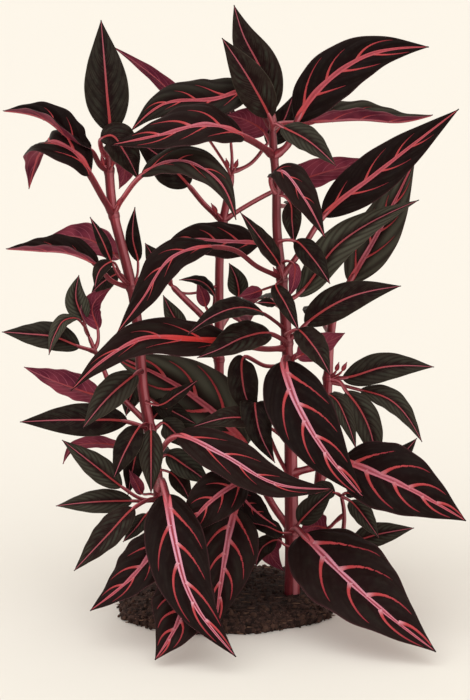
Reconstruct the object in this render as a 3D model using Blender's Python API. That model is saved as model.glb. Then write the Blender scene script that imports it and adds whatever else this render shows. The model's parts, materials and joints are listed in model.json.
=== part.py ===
"""A bloodleaf plant: four leafy stems in a low mound of soil.

Metres, +Z up, the eye of the picture at -Y. The origin lies on the mound's flat underside, 12 mm
before the middle of it, so that the stems stand round it.
"""
from collections import namedtuple
import math
import random
import bmesh
import bpy
import numpy as np

# How the plant is seen. A place is given as (across, down, toward): two pixels of a picture of
# 470 by 700, and millimetres that it stands nearer to the eye than the plane of the stems.
PICTURE_CENTRE = (235, 350)
METRES_PER_PIXEL = 0.0007
FOCAL_PIXELS = 2200
LOOK_DOWN = math.radians(13)
CENTRE_POINT = np.array((0.007, 0.0, 0.189))
FORWARD = np.array((0.0, math.cos(LOOK_DOWN), -math.sin(LOOK_DOWN)))
UPWARD = np.array((0.0, math.sin(LOOK_DOWN), math.cos(LOOK_DOWN)))
EYE = CENTRE_POINT - FORWARD * FOCAL_PIXELS * METRES_PER_PIXEL

MM = 0.001
SOIL_TOP = 0.011
STEM_FOOT = 0.0033

Stem = namedtuple("Stem", "parent row points foot_mm top_mm")
Leaf = namedtuple("Leaf", "stem row stalk blade width face finish")

STEMS = {
    "left": Stem(None, None, [(166, 560, 10), (160, 500, 12), (155, 462, 12), (150, 430, 12),
                              (143, 390, 12),
                              (139, 340, 12), (132, 289, 12), (120, 240, 11), (114, 216, 10), (109, 171, 9),
                              (108, 153, 8)], 4.4, 3.2),
    "centre": Stem(None, None, [(215, 560, -35), (218, 470, -35), (219, 385, -35), (219, 300, -35),
                                (220, 250, -35), (223, 221, -34), (228, 195, -33),
                                (232, 170, -32)], 4.3, 2.7),
    "main": Stem(None, None, [(292, 560, 0), (291, 480, 0), (290, 420, 0), (287, 345, 0), (282, 280, 0),
                              (277, 232, 0), (276, 182, 0), (274, 156, 0), (272, 123, 0)], 5.5, 2.6),
    "right": Stem(None, None, [(317, 560, -20), (319, 490, -20), (325, 430, -20), (328, 376, -20),
                               (330, 340, -20), (334, 312, -20), (343, 286, -22)], 4.6, 2.9),
    "left shoot": Stem("left", 424, [(128, 404, 4), (112, 388, 0), (103, 368, -2), (95, 351, -2),
                                     (88, 334, -2)], 2.2, 1.5),
    "centre shoot": Stem("centre", 352, [(213, 332, -26), (204, 318, -18), (187, 301, -17),
                                         (171, 285, -15)], 2.6, 2.2),
    "right shoot": Stem("right", 556, [(335, 550, -12), (342, 535, -8), (344, 512, -6), (341, 495, -4)],
                        1.9, 1.4),
}

# Each leaf leaves its stem at a picture row, runs up its stalk to the blade's base, and on through
# the blade to its tip. The width is in millimetres; the face is the way its upper side looks
# (right, up, toward).
LEAVES = [
    # left stem, from its crown down
    Leaf("left", 160, [(109, 147, 4), (110, 133, 4)], [(107, 93, 0), (101, 20, -12)],
         31, (0, .1, 1), "slim"),
    Leaf("left", 157, [(102, 150, 8), (101, 140, 12)], [(111, 136, 14), (124, 152, 16), (138, 179, 16)],
         27, (.2, .7, .7), "slim"),
    Leaf("left", 160, [(113, 152, 0), (119, 152, -4)], [(125, 167, -6), (119, 189, -4)],
         15, (.3, .2, -.9), "slim"),
    Leaf("left", 171, [(101, 166, 14), (91, 151, 20)], [(80, 147, 24), (45, 120, 22), (3, 111, 8)],
         28, (.2, .9, .4), "fold"),
    Leaf("left", 215, [(103, 198, 18), (90, 175, 26)],
         [(76, 155, 31), (53, 143, 26), (40, 154, 6), (29, 189, -12)],
         36, (-.15, .85, .5), "bold"),
    Leaf("left", 213, [(123, 198, 16), (141, 176, 24)], [(185, 162, 36), (219, 182, 44), (236, 220, 48)],
         27, (.1, .7, .7), "bold"),
    Leaf("left", 288, [(137, 276, 6), (138, 262, 4)], [(133, 240, 2), (135, 207, -4)],
         11, (.1, .1, 1), "slim"),
    Leaf("left", 288, [(120, 278, 18), (111, 261, 20)], [(102, 240, 20), (90, 217, 16)],
         9, (.2, .2, .95), "slim"),
    Leaf("left", 262, [(124, 259, 3), (120, 257, 1)], [(88, 239, -6), (50, 236, -16)],
         27, (-.1, .5, -.85), "slim"),
    Leaf("left", 288, [(112, 281, 16), (98, 267, 18)], [(70, 254, 16), (38, 251, 12), (6, 249, 2)],
         25, (.1, .92, .34), "fold"),
    Leaf("left", 286, [(121, 275, 24), (112, 262, 32)], [(102, 268, 36), (95, 288, 38)],
         11, (-.3, .4, .85), "slim"),
    Leaf("left", 290, [(126, 281, 2), (121, 274, -2)], [(108, 279, -6), (91, 294, -10)],
         14, (0, .5, .85), "slim"),
    Leaf("left", 372, [(140, 371, 22), (136, 374, 28)], [(112, 394, 36), (83, 428, 40)],
         23, (-.2, .5, .85), "slim"),
    Leaf("left", 430, [(141, 426, 16), (128, 422, 16)], [(85, 420, 18), (20, 422, 8)],
         24, (0, .35, .93), "slim"),
    Leaf("left", 430, [(146, 424, 24), (140, 427, 32)], [(127, 448, 40), (114, 478, 42)],
         19, (-.2, .4, .9), "slim"),
    Leaf("left", 430, [(151, 425, 22), (151, 430, 32)], [(151, 457, 40), (151, 493, 42)],
         17, (.1, .35, .94), "slim"),
    Leaf("left", 430, [(151, 424, 10), (153, 419, 8)], [(162, 409, 6), (179, 396, 2)],
         14, (.2, .5, .85), "slim"),
    Leaf("left", 442, [(140, 441, 4), (124, 445, 2)], [(95, 443, -2), (72, 448, -6), (63, 464, -6)],
         13, (0, .5, -.85), "slim"),
    Leaf("left", 500, [(142, 499, 20), (122, 487, 22)], [(95, 466, 22), (62, 440, 16)],
         19, (.2, .5, .85), "slim"),
    Leaf("left", 500, [(148, 501, 16), (133, 501, 16)], [(95, 502, 18), (56, 506, 12)],
         18, (0, .5, .87), "slim"),
    Leaf("left", 500, [(148, 500, 26), (134, 508, 38)], [(108, 535, 50), (74, 571, 56)],
         22, (-.3, .5, .8), "slim"),
    Leaf("left", 497, [(150, 494, 4), (143, 494, 2)], [(137, 484, 0), (129, 470, -2)],
         9, (0, .2, -1), "slim"),
    Leaf("left", 506, [(153, 509, 22), (147, 514, 28)], [(137, 527, 34), (123, 542, 36)],
         12, (-.3, .4, .85), "slim"),
    Leaf("left", 395, [(147, 397, 8), (153, 401, 8)], [(172, 411, 6), (196, 424, 4)],
         15, (0, .4, .9), "slim"),
    Leaf("left", 400, [(149, 403, 18), (158, 405, 20)], [(178, 394, 24), (198, 380, 24)],
         10, (.1, .4, .9), "slim"),
    Leaf("left", 515, [(164, 514, 30), (165, 527, 46)], [(138, 572, 72), (90, 611, 86)],
         37, (-.35, .6, .7), "bold"),
    Leaf("left", 490, [(162, 481, 34), (166, 494, 50)], [(173, 535, 80), (192, 600, 114), (236, 657, 134)],
         42, (.1, .45, .88), "bold"),
    Leaf("left", 535, [(173, 550, 52), (184, 572, 74)], [(181, 616, 101), (155, 660, 121)],
         44, (-.2, .55, .8), "bold"),
    Leaf("left", 462, [(160, 452, 24), (177, 436, 44)], [(222, 455, 62), (275, 484, 72), (333, 489, 70)],
         31, (.1, .6, .8), "bold"),
    Leaf("left", 466, [(160, 459, 22), (166, 455, 28)], [(187, 467, 32), (211, 485, 34)],
         19, (.1, .5, .85), "slim"),
    Leaf("left", 432, [(157, 427, 12), (162, 423, 12)], [(172, 430, 13), (184, 448, 13)],
         18, (.1, .5, .85), "slim"),
    Leaf("left", 386, [(141, 384, 7), (137, 384, 4)], [(131, 396, 0), (126, 416, -2)],
         15, (0, .3, .95), "slim"),
    Leaf("left", 436, [(145, 438, 6), (139, 446, 1)], [(133, 468, -3), (128, 495, -6)],
         15, (0, .3, .95), "slim"),
    Leaf("left", 474, [(161, 470, 18), (169, 472, 20)], [(181, 484, 22), (190, 502, 22)],
         14, (.2, .5, .85), "slim"),
    # the left stem's shoot
    Leaf("left shoot", 350, [(98, 341, -2), (98, 330, -2)], [(92, 308, -6), (113, 286, -12)],
         17, (-.5, .1, -.85), "slim"),
    Leaf("left shoot", 336, [(86, 330, -2), (84, 321, -3)], [(76, 298, -5), (79, 275, -9)],
         17, (0, .1, 1), "slim"),
    Leaf("left shoot", 336, [(84, 326, 4), (77, 319, 8)], [(64, 321, 12), (56, 333, 15), (49, 355, 16)],
         12, (-.3, .6, .7), "slim"),
    Leaf("left shoot", 352, [(90, 350, 3), (80, 347, 5)], [(54, 337, 5), (27, 334, 1), (2, 332, -4)],
         21, (0, .5, .85), "slim"),
    Leaf("left shoot", 390, [(108, 394, -5), (104, 395, -7)], [(68, 386, -14), (24, 367, -24)],
         26, (0, .45, -.9), "slim"),
    # centre stem
    Leaf("centre", 222, [(205, 205, -30), (189, 186, -26)], [(166, 162, -22), (133, 138, -20)],
         29, (0, .4, .9), "slim"),
    Leaf("centre", 174, [(220, 156, -34), (207, 137, -38)], [(168, 89, -40), (112, 46, -34)],
         15, (.4, .35, -.85), "slim"),
    Leaf("centre", 172, [(232, 158, -36), (231, 143, -38)], [(231, 124, -40), (229, 103, -42)],
         16, (0, 0, 1), "slim"),
    Leaf("centre", 173, [(250, 164, -38), (267, 144, -40)], [(283, 122, -42), (293, 95, -44)],
         20, (0, .2, 1), "slim"),
    Leaf("centre", 221, [(243, 208, -32), (272, 192, -30)], [(325, 172, -24), (378, 160, -22)],
         25, (.1, .5, -.85), "slim"),
    Leaf("centre", 312, [(229, 305, -26), (238, 297, -22)], [(237, 281, -20), (229, 263, -20)],
         15, (0, .1, 1), "slim"),
    Leaf("centre", 362, [(203, 348, -30), (185, 333, -26)], [(173, 315, -24), (163, 295, -24)],
         14, (0, .3, .95), "slim"),
    Leaf("centre", 488, [(226, 484, -10), (237, 492, 12)], [(255, 511, 22), (277, 527, 24)],
         20, (.2, .5, .85), "bold"),
    Leaf("centre", 500, [(226, 498, -6), (234, 506, 20)], [(228, 535, 41), (221, 580, 59), (215, 628, 75)],
         46, (.3, .4, .87), "bold"),
    # the centre stem's shoot
    Leaf("centre shoot", 318, [(208, 312, -19), (206, 307, -18)], [(203, 296, -17), (197, 282, -18)],
         10, (-.2, .1, -1), "slim"),
    Leaf("centre shoot", 320, [(213, 307, -14), (214, 297, -12)], [(203, 283, -9), (179, 280, -7)],
         12, (0, .85, .5), "slim"),
    Leaf("centre shoot", 284, [(170, 279, -14), (166, 275, -13)], [(157, 262, -12), (145, 243, -12)],
         16, (0, .4, .9), "slim"),
    # main stem, from its crown down
    Leaf("main", 128, [(273, 118, -3), (272, 112, -5)], [(261, 70, -12), (243, 34, -18), (234, 5, -24)],
         28, (-.1, .05, 1), "slim"),
    Leaf("main", 130, [(272, 124, 4), (270, 118, 7)], [(254, 87, 10), (222, 38, 6)],
         25, (-.15, .15, 1), "slim"),
    Leaf("main", 128, [(280, 124, -8), (305, 123, -12)], [(361, 120, -16), (403, 122, -16), (433, 115, -14)],
         29, (0, .98, .2), "fold"),
    Leaf("main", 128, [(277, 124, 8), (282, 127, 13)], [(308, 141, 22), (336, 166, 28)],
         20, (.1, .6, .8), "slim"),
    Leaf("main", 128, [(266, 119, -4), (252, 93, -2)], [(213, 100, 4), (163, 105, 10), (131, 131, 8)],
         31, (.1, .6, .8), "bold"),
    Leaf("main", 150, [(270, 142, -8), (266, 134, -12)], [(248, 121, -16), (227, 115, -18)],
         22, (0, .2, -1), "slim"),
    Leaf("main", 157, [(262, 147, 8), (244, 137, 20)], [(205, 126, 36), (160, 136, 40), (112, 145, 36)],
         37, (0, .75, .65), "bold"),
    Leaf("main", 156, [(287, 146, 6), (297, 122, 8)], [(320, 89, 14), (367, 56, 18), (429, 47, 16)],
         36, (-.15, .35, .92), "bold"),
    Leaf("main", 193, [(272, 187, 8), (271, 177, 16)], [(281, 172, 26), (304, 199, 38), (325, 238, 44)],
         24, (.25, .55, .8), "bold"),
    Leaf("main", 196, [(284, 196, 3), (289, 201, 4)], [(292, 222, 5), (294, 244, 5)],
         14, (0, .2, 1), "slim"),
    Leaf("main", 243, [(286, 240, 10), (295, 241, 16)], [(313, 259, 24), (330, 284, 27)],
         18, (.2, .5, .85), "slim"),
    Leaf("main", 247, [(270, 245, -9), (260, 244, -12)], [(222, 242, -8), (186, 241, -2), (159, 254, 2)],
         30, (0, .65, .75), "bold"),
    Leaf("main", 278, [(300, 252, 6), (323, 217, 10)], [(376, 174, 16), (459, 109, 14)],
         31, (-.1, .3, .95), "bold"),
    Leaf("main", 278, [(258, 267, 12), (234, 250, 24), (213, 247, 32)],
         [(171, 259, 46), (143, 299, 52), (117, 333, 50)],
         26, (-.15, .7, .7), "bold"),
    Leaf("main", 280, [(282, 276, 12), (279, 266, 18)], [(262, 241, 24), (240, 212, 24)],
         15, (.5, .4, .75), "slim"),
    Leaf("main", 281, [(279, 282, 10), (276, 285, 16)], [(286, 305, 26), (299, 331, 28)],
         13, (.2, .3, .95), "slim"),
    Leaf("main", 284, [(271, 287, -4), (262, 290, -8)], [(250, 294, -11), (238, 297, -12)],
         11, (0, .3, -.95), "slim"),
    Leaf("main", 264, [(288, 261, 6), (293, 263, 8)], [(294, 280, 10), (288, 298, 10)],
         9, (.3, 0, -.95), "slim"),
    Leaf("main", 303, [(288, 301, 2), (296, 296, 3)], [(338, 245, 6), (419, 200, 0)],
         25, (-.2, .4, .9), "slim"),
    Leaf("main", 304, [(279, 304, 4), (275, 304, 6)], [(267, 303, 8), (256, 303, 8)],
         9, (0, .8, .6), "slim"),
    Leaf("main", 331, [(276, 322, 10), (264, 314, 20)], [(240, 308, 36), (212, 317, 52), (187, 335, 58)],
         20, (0, .75, .65), "slim"),
    Leaf("main", 344, [(283, 340, 10), (271, 334, 18)], [(243, 338, 34), (218, 350, 46), (197, 358, 52)],
         25, (0, .65, .75), "slim"),
    Leaf("main", 348, [(265, 349, 12), (240, 345, 22)],
         [(190, 340, 36), (140, 340, 44), (106, 359, 46), (71, 391, 40)],
         30, (0, .65, .75), "bold"),
    Leaf("main", 340, [(296, 334, 3), (305, 325, 5)], [(345, 299, 10), (401, 286, 6)],
         24, (0, .3, .95), "slim"),
    Leaf("main", 336, [(290, 332, 12), (297, 330, 19)], [(313, 346, 29), (330, 375, 33)],
         21, (.3, .5, .8), "slim"),
    Leaf("main", 364, [(291, 360, -4), (297, 357, -8)], [(320, 346, -10), (345, 333, -12)],
         22, (0, .3, -.95), "slim"),
    Leaf("main", 362, [(286, 358, 9), (284, 362, 20)], [(292, 393, 42), (318, 442, 64), (364, 498, 74)],
         45, (.1, .35, .93), "bold"),
    Leaf("main", 364, [(266, 366, 6), (244, 357, 10)], [(243, 385, 16), (258, 422, 18)],
         22, (.1, .3, .95), "slim"),
    Leaf("main", 445, [(276, 432, 12), (257, 421, 26)], [(228, 418, 40), (193, 427, 44)],
         17, (0, .6, .8), "slim"),
    Leaf("main", 478, [(279, 458, 4), (266, 428, 8), (258, 410, 16)],
         [(255, 404, 28), (259, 430, 38), (275, 463, 42)],
         22, (0, .6, .8), "slim"),
    Leaf("main", 473, [(312, 468, 12), (341, 463, 24)], [(385, 478, 42), (466, 521, 57)],
         51, (.1, .5, .85), "bold"),
    Leaf("main", 482, [(270, 477, 22), (246, 480, 42)], [(214, 499, 58), (178, 540, 60)],
         34, (-.1, .45, .88), "bold"),
    Leaf("main", 530, [(276, 510, -4), (262, 485, -6), (246, 447, -6)], [(192, 395, -8), (112, 354, -10)],
         52, (0, .15, .99), "bold"),
    Leaf("main", 532, [(297, 529, 10), (303, 535, 22)], [(341, 574, 62), (392, 619, 100), (436, 652, 120)],
         63, (.15, .6, .8), "bold"),
    Leaf("main", 530, [(296, 527, 5), (299, 523, 8)], [(313, 508, 12), (334, 489, 12)],
         18, (0, .4, .9), "slim"),
    Leaf("main", 535, [(288, 533, 11), (283, 533, 14)], [(265, 526, 20), (244, 522, 20)],
         13, (0, .6, .8), "slim"),
    Leaf("main", 546, [(285, 545, 6), (278, 540, 6)], [(265, 545, 4), (256, 567, 2)],
         14, (0, .4, .9), "slim"),
    Leaf("main", 538, [(285, 537, -6), (281, 536, -8)], [(270, 548, -10), (284, 571, -9)],
         18, (-.3, .2, -.9), "slim"),
    # right stem
    Leaf("right", 292, [(346, 288, -23), (349, 283, -24)], [(382, 226, -28), (415, 160, -36)],
         33, (-.2, .2, .97), "bold"),
    Leaf("right", 377, [(335, 378, -18), (342, 378, -17)], [(385, 367, -15), (434, 367, -22)],
         22, (0, .4, .9), "slim"),
    Leaf("right", 380, [(340, 382, -13), (346, 391, -8)], [(359, 408, -2), (372, 438, 2), (375, 470, 4)],
         21, (.1, .4, .9), "slim"),
    Leaf("right", 406, [(327, 400, -12), (328, 395, -6)], [(336, 400, 2), (347, 422, 8), (356, 449, 10)],
         14, (.2, .5, .85), "slim"),
    Leaf("right", 381, [(345, 386, -20), (360, 390, -18)], [(388, 399, -12), (422, 442, -10)],
         18, (.2, .6, .8), "slim"),
    Leaf("right", 457, [(345, 468, -14), (372, 470, -14)], [(396, 459, -14), (417, 438, -16)],
         16, (0, .3, .95), "slim"),
    # the right stem's shoot
    Leaf("right shoot", 514, [(336, 521, -8), (328, 528, -9)], [(316, 526, -9), (300, 533, -8)],
         20, (0, .2, -.97), "slim"),
    Leaf("right shoot", 497, [(338, 494, -1), (335, 493, 1)], [(324, 491, 3), (306, 503, 4)],
         15, (0, .5, .85), "slim"),
    Leaf("right shoot", 496, [(344, 494, -2), (346, 493, 0)], [(351, 494, 2), (359, 495, 3)],
         7, (0, .6, .8), "slim"),
    Leaf("right shoot", 497, [(345, 498, 3), (350, 501, 9)],
         [(357, 508, 15), (367, 521, 19), (379, 538, 20)],
         16, (.2, .6, .8), "slim"),
    Leaf("right shoot", 540, [(346, 541, -5), (351, 541, -3)], [(380, 534, 2), (414, 528, -2)],
         18, (0, .5, .87), "slim"),
    # the far side, which the picture hides
    Leaf("left", 340, [(141, 338, -8), (145, 335, -22)], [(152, 336, -48), (158, 346, -72)],
         24, (0, .9, -.3), "slim"),
    Leaf("left", 470, [(158, 464, -8), (158, 458, -24)], [(150, 450, -52), (143, 455, -78)],
         26, (0, .9, -.3), "slim"),
    Leaf("left", 545, [(170, 540, -8), (176, 534, -26)], [(186, 528, -58), (194, 528, -84)],
         26, (.3, .9, -.3), "slim"),
    Leaf("centre", 260, [(216, 252, -48), (210, 244, -60)], [(198, 243, -86), (186, 256, -108)],
         28, (0, .9, -.3), "bold"),
    Leaf("centre", 330, [(223, 324, -48), (227, 318, -62)], [(236, 316, -90), (246, 328, -112)],
         30, (.2, .9, -.3), "bold"),
    Leaf("centre", 430, [(214, 424, -50), (208, 418, -66)], [(200, 416, -94), (190, 428, -118)],
         30, (0, .9, -.3), "bold"),
    Leaf("centre", 520, [(222, 514, -50), (232, 508, -66)], [(246, 504, -96), (258, 510, -118)],
         30, (.2, .9, -.3), "bold"),
    Leaf("main", 205, [(284, 206, -12), (292, 207, -30)], [(304, 208, -56), (316, 216, -80)],
         24, (.2, .9, -.3), "slim"),
    Leaf("main", 310, [(276, 304, -14), (270, 300, -30)], [(256, 300, -58), (240, 312, -80)],
         26, (-.2, .9, -.3), "slim"),
    Leaf("main", 410, [(292, 404, -14), (295, 398, -32)], [(300, 398, -64), (304, 414, -92)],
         28, (0, .9, -.3), "bold"),
    Leaf("main", 500, [(286, 492, -14), (282, 486, -30)], [(274, 480, -60), (264, 480, -88)],
         28, (-.2, .9, -.3), "bold"),
    Leaf("right", 335, [(326, 328, -34), (322, 320, -48)], [(320, 310, -74), (326, 306, -98)],
         26, (0, .9, -.3), "slim"),
    Leaf("right", 410, [(332, 404, -32), (340, 400, -48)], [(354, 402, -76), (366, 420, -98)],
         26, (.3, .9, -.3), "slim"),
    Leaf("right", 480, [(328, 474, -34), (334, 470, -50)], [(346, 470, -80), (358, 482, -104)],
         28, (.3, .9, -.3), "bold"),
    Leaf("right", 545, [(332, 540, -30), (340, 538, -44)], [(352, 540, -70), (362, 548, -88)],
         24, (.3, .9, -.3), "slim"),
]

# young leaves in the nodes: stem, row, base, tip
BUDS = [
    ("left", 172, (104, 165, 14), (101, 154, 15)),
    ("left", 172, (112, 166, 14), (115, 157, 15)),
    ("left", 214, (118, 205, 18), (121, 197, 20)),
    ("centre", 176, (228, 168, -28), (226, 158, -28)),
    ("centre", 176, (235, 168, -28), (238, 159, -28)),
    ("centre", 222, (217, 213, -28), (211, 203, -28)),
    ("right", 378, (336, 371, -14), (339, 362, -12)),
    ("right", 378, (342, 371, -12), (347, 362, -12)),
]

# Where a stem carries a pair of leaves it is swollen: stem, row
NODES = [("left", 171), ("left", 215), ("left", 288), ("left", 430), ("left", 500), ("centre", 172),
         ("centre", 221), ("centre", 360), ("main", 156), ("main", 279), ("main", 343), ("main", 363),
         ("main", 476), ("main", 532), ("right", 378)]


def place(across, down, toward):
    """The point on the eye's ray through a picture place, at its depth before the stems' plane."""
    right = (across - PICTURE_CENTRE[0]) / FOCAL_PIXELS
    rise = (PICTURE_CENTRE[1] - down) / FOCAL_PIXELS
    ray = FORWARD + np.array((right, 0, 0)) + UPWARD * rise
    return EYE + ray * ((-toward * MM - EYE[1]) / ray[1])


def curve(points, count):
    """A smooth curve through the points: cubic spans with chord-length knots, sampled evenly."""
    points = np.asarray(points, float)
    steps = np.maximum(np.linalg.norm(np.diff(points, axis=0), axis=1), 1e-6)
    knots = np.concatenate(([0], np.cumsum(steps)))
    slopes = np.gradient(points, knots, axis=0)
    if len(points) > 2:
        slopes[0] = 1.5 * (points[1] - points[0]) / steps[0] - 0.5 * slopes[1]
        slopes[-1] = 1.5 * (points[-1] - points[-2]) / steps[-1] - 0.5 * slopes[-2]
    places = count if np.ndim(count) else np.linspace(0, 1, count)
    at = np.asarray(places) * knots[-1]
    span = np.clip(np.searchsorted(knots, at, side="right") - 1, 0, len(steps) - 1)
    length = steps[span][:, None]
    t = (at - knots[span])[:, None] / length
    start, end = points[span], points[span + 1]
    return (start * (2 * t**3 - 3 * t**2 + 1) + slopes[span] * length * (t**3 - 2 * t**2 + t)
            + end * (3 * t**2 - 2 * t**3) + slopes[span + 1] * length * (t**3 - t**2))


def seen_row(points):
    """The picture rows at which points are seen."""
    offset = points - EYE
    return PICTURE_CENTRE[1] - FOCAL_PIXELS * (offset @ UPWARD) / (offset @ FORWARD)


def stem_axis(name):
    """A stem's centre line from its foot up, as 200 points: upright in the soil, then smooth."""
    stem = STEMS[name]
    points = [place(*point) for point in stem.points]
    if stem.parent:
        return curve([stem_point(stem.parent, stem.row)] + points, 200)
    foot = np.array((points[0][0], points[0][1], STEM_FOOT))
    collar = np.array((points[0][0], points[0][1], SOIL_TOP + 0.004))
    return curve([foot, collar] + points, 200)


def stem_point(name, row):
    """The point of a stem's centre line that is seen at a picture row."""
    line = stem_axis(name)
    return line[np.argmin(np.abs(seen_row(line) - row))]


def leaf_line(leaf):
    """A leaf's centre line from the stem to its tip, and the share of it that is stalk."""
    root = stem_point(leaf.stem, leaf.row)
    points = np.array([root] + [place(*point) for point in leaf.stalk + leaf.blade])
    steps = np.linalg.norm(np.diff(points, axis=0), axis=1)
    return points, steps[:len(leaf.stalk)].sum() / steps.sum()


def frames(line, face, middle):
    """Tangents, upper normals and sides along a line: the face is met at its middle and then turned
    no more than the line turns."""
    tangents = np.gradient(line, axis=0)
    tangents /= np.linalg.norm(tangents, axis=1)[:, None]
    right, up, toward = face
    wanted = np.array((right, -toward, up), float)
    normals = np.zeros_like(line)
    normals[middle] = wanted - tangents[middle] * (wanted @ tangents[middle])
    normals[middle] /= np.linalg.norm(normals[middle])
    for index in list(range(middle + 1, len(line))) + list(range(middle - 1, -1, -1)):
        before = normals[index - 1 if index > middle else index + 1]
        turned = before - tangents[index] * (before @ tangents[index])
        normals[index] = turned / np.linalg.norm(turned)
    return tangents, normals, np.cross(tangents, normals)


def blade_width(share):
    """Half the blade's width, from 0 to 1, at a share of its length: an egg-lance shape that is
    widest two fifths up and draws out to its tip."""
    share = np.clip(share, 0, 1)
    return np.sin(np.pi * share ** 0.7) ** 0.92 * (1 - 0.26 * share ** 4)

# The solids' own sizes, in millimetres
BLADE_THICK = 0.74
BLADE_CUP = 0.18
FOLD_CUP = 0.9
TIP_HALF = 0.45
STALK_SHARE = 0.066
STALK_LEAST = 0.9
STALK_MOST = 2.6
STEM_SIDES = 8
STEM_RINGS = 11
NODE_SWELL = 1.22
NODE_LENGTH = 0.004

# Where the rings of a blade's loft stand along it
BOLD_RINGS = (0.05, 0.16, 0.32, 0.5, 0.68, 0.85, 1.0)
SLIM_RINGS = (0.07, 0.26, 0.52, 0.78, 1.0)

# The mound of soil
SOIL_HALF_WIDTH = 0.08
SOIL_HALF_DEPTH = 0.068
SOIL_BACK = 0.012
SOIL_SQUARE = 0.82
SOIL_RIM = 0.0035
SOIL_CRUMB = 0.0007
SOIL_SECTORS = 56
SOIL_STEPS = (0.3, 0.52, 0.7, 0.84, 0.94, 1.0)
HOLE_FLOOR = 0.003
CLEARANCE = 0.0003


def material(name, colour, roughness):
    """A plain Principled material."""
    made = bpy.data.materials.new(name)
    made.use_nodes = True
    shader = made.node_tree.nodes["Principled BSDF"]
    shader.inputs["Base Color"].default_value = (*colour, 1)
    shader.inputs["Roughness"].default_value = roughness
    return made


def mesh_object(name, points, faces, finish):
    """A closed mesh as a named object."""
    mesh = bpy.data.meshes.new(name)
    mesh.from_pydata([tuple(point) for point in points], [], faces)
    mesh.materials.append(finish)
    made = bpy.data.objects.new(name, mesh)
    bpy.context.scene.collection.objects.link(made)
    return made


def loft_faces(rings, sides):
    """Triangles between rings of points, split alike on both faces of a blade, and two end caps."""
    faces = []
    for ring in range(rings - 1):
        low, high = ring * sides, (ring + 1) * sides
        for side in range(sides):
            after = (side + 1) % sides
            if side in (1, 3) and sides == 6:
                faces.append((low + side, low + after, high + side))
                faces.append((low + after, high + after, high + side))
            else:
                faces.append((low + side, low + after, high + after))
                faces.append((low + side, high + after, high + side))
    top = (rings - 1) * sides
    for side in range(1, sides - 1):
        faces.append((0, side + 1, side))
        faces.append((top, top + side, top + side + 1))
    return faces


def leaf_solid(name, leaf, finish):
    """One loft from the stalk's root in the stem to the blade's tip, six points to a ring: the
    blade's upper left, middle and right, then its lower right, middle and left."""
    points, stalk = leaf_line(leaf)
    fine = curve(points, 161)
    middle = int(160 * (stalk + 0.5 * (1 - stalk)))
    tangents, normals, sides = frames(fine, leaf.face, middle)
    radius = min(max(leaf.width * STALK_SHARE, STALK_LEAST), STALK_MOST) * MM
    cup = FOLD_CUP if leaf.finish == "fold" else BLADE_CUP
    blade_rings = BOLD_RINGS if leaf.finish == "bold" else SLIM_RINGS
    stalk_rings = (0.0, 0.5, 0.96) if leaf.finish == "bold" else (0.0, 0.96)
    places = [stalk * ring for ring in stalk_rings] + [stalk + (1 - stalk) * ring for ring in blade_rings]
    thick = BLADE_THICK * MM / 2
    solid = []
    for place_along in places:
        index = int(round(160 * place_along))
        centre, up, side = fine[index], normals[index], sides[index]
        share = (place_along - stalk) / (1 - stalk)
        if share <= 0:
            wide, high = radius * (1.2 - 0.2 * place_along / stalk), 0.5
            solid += [centre - side * wide * 0.87 + up * wide * high, centre + up * wide,
                      centre + side * wide * 0.87 + up * wide * high,
                      centre + side * wide * 0.87 - up * wide * high, centre - up * wide,
                      centre - side * wide * 0.87 - up * wide * high]
            continue
        half = max(blade_width(share) * leaf.width * MM / 2, TIP_HALF * MM)
        left = centre - side * half * math.cos(cup) + up * half * math.sin(cup)
        right = centre + side * half * math.cos(cup) + up * half * math.sin(cup)
        over = up * thick
        rib = up * (thick + radius * 0.8 * (1 - share))
        solid += [left + over, centre + over, right + over, right - over, centre - rib, left - over]
    return mesh_object(name, solid, loft_faces(len(places), 6), finish)


def bud_leaf(stem, row, base, tip):
    """A young folded leaf as a small slim leaf with no long stalk."""
    middle = tuple((a + b) / 2 for a, b in zip(base, tip))
    return Leaf(stem, row, [base], [middle, tip], 3.4, (0, 0.2, 1), "slim")


def stem_solid(name, finish):
    """A tapered tube along the stem's centre line, swollen where it carries its leaves."""
    stem = STEMS[name]
    line = stem_axis(name)
    rows = seen_row(line)
    last = len(line) - 1
    picks = set(int(round(step)) for step in np.linspace(0, last, STEM_RINGS))
    if stem.parent is None:
        collar = int(np.argmin(np.abs(line[:, 2] - SOIL_TOP - 0.004)))
        picks = {pick for pick in picks if pick > collar + 4} | {0, collar}
    swollen = set()
    lengths = np.concatenate(([0], np.cumsum(np.linalg.norm(np.diff(line, axis=0), axis=1))))
    for owner, row in NODES:
        if owner == name:
            node = int(np.argmin(np.abs(rows - row)))
            below = int(np.argmin(np.abs(lengths - lengths[node] + NODE_LENGTH)))
            above = int(np.argmin(np.abs(lengths - lengths[node] - NODE_LENGTH)))
            picks = {pick for pick in picks if pick < below - 3 or pick > above + 3} | {below, node, above}
            swollen.add(node)
    tangents, normals, sides = frames(line, (0, 0, 1), last // 2)
    picks = sorted(picks)
    points = []
    for pick in picks:
        share = lengths[pick] / lengths[-1]
        radius = (stem.foot_mm + (stem.top_mm - stem.foot_mm) * share) * MM
        if stem.parent is None and pick <= collar:
            radius = stem.foot_mm * MM
        if pick in swollen:
            radius *= NODE_SWELL
        for side in range(STEM_SIDES):
            turn = -2 * math.pi * side / STEM_SIDES
            spoke = sides[pick] * math.cos(turn) + normals[pick] * math.sin(turn)
            points.append(line[pick] + spoke * radius)
    return mesh_object(name, points, loft_faces(len(picks), STEM_SIDES), finish)


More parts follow.
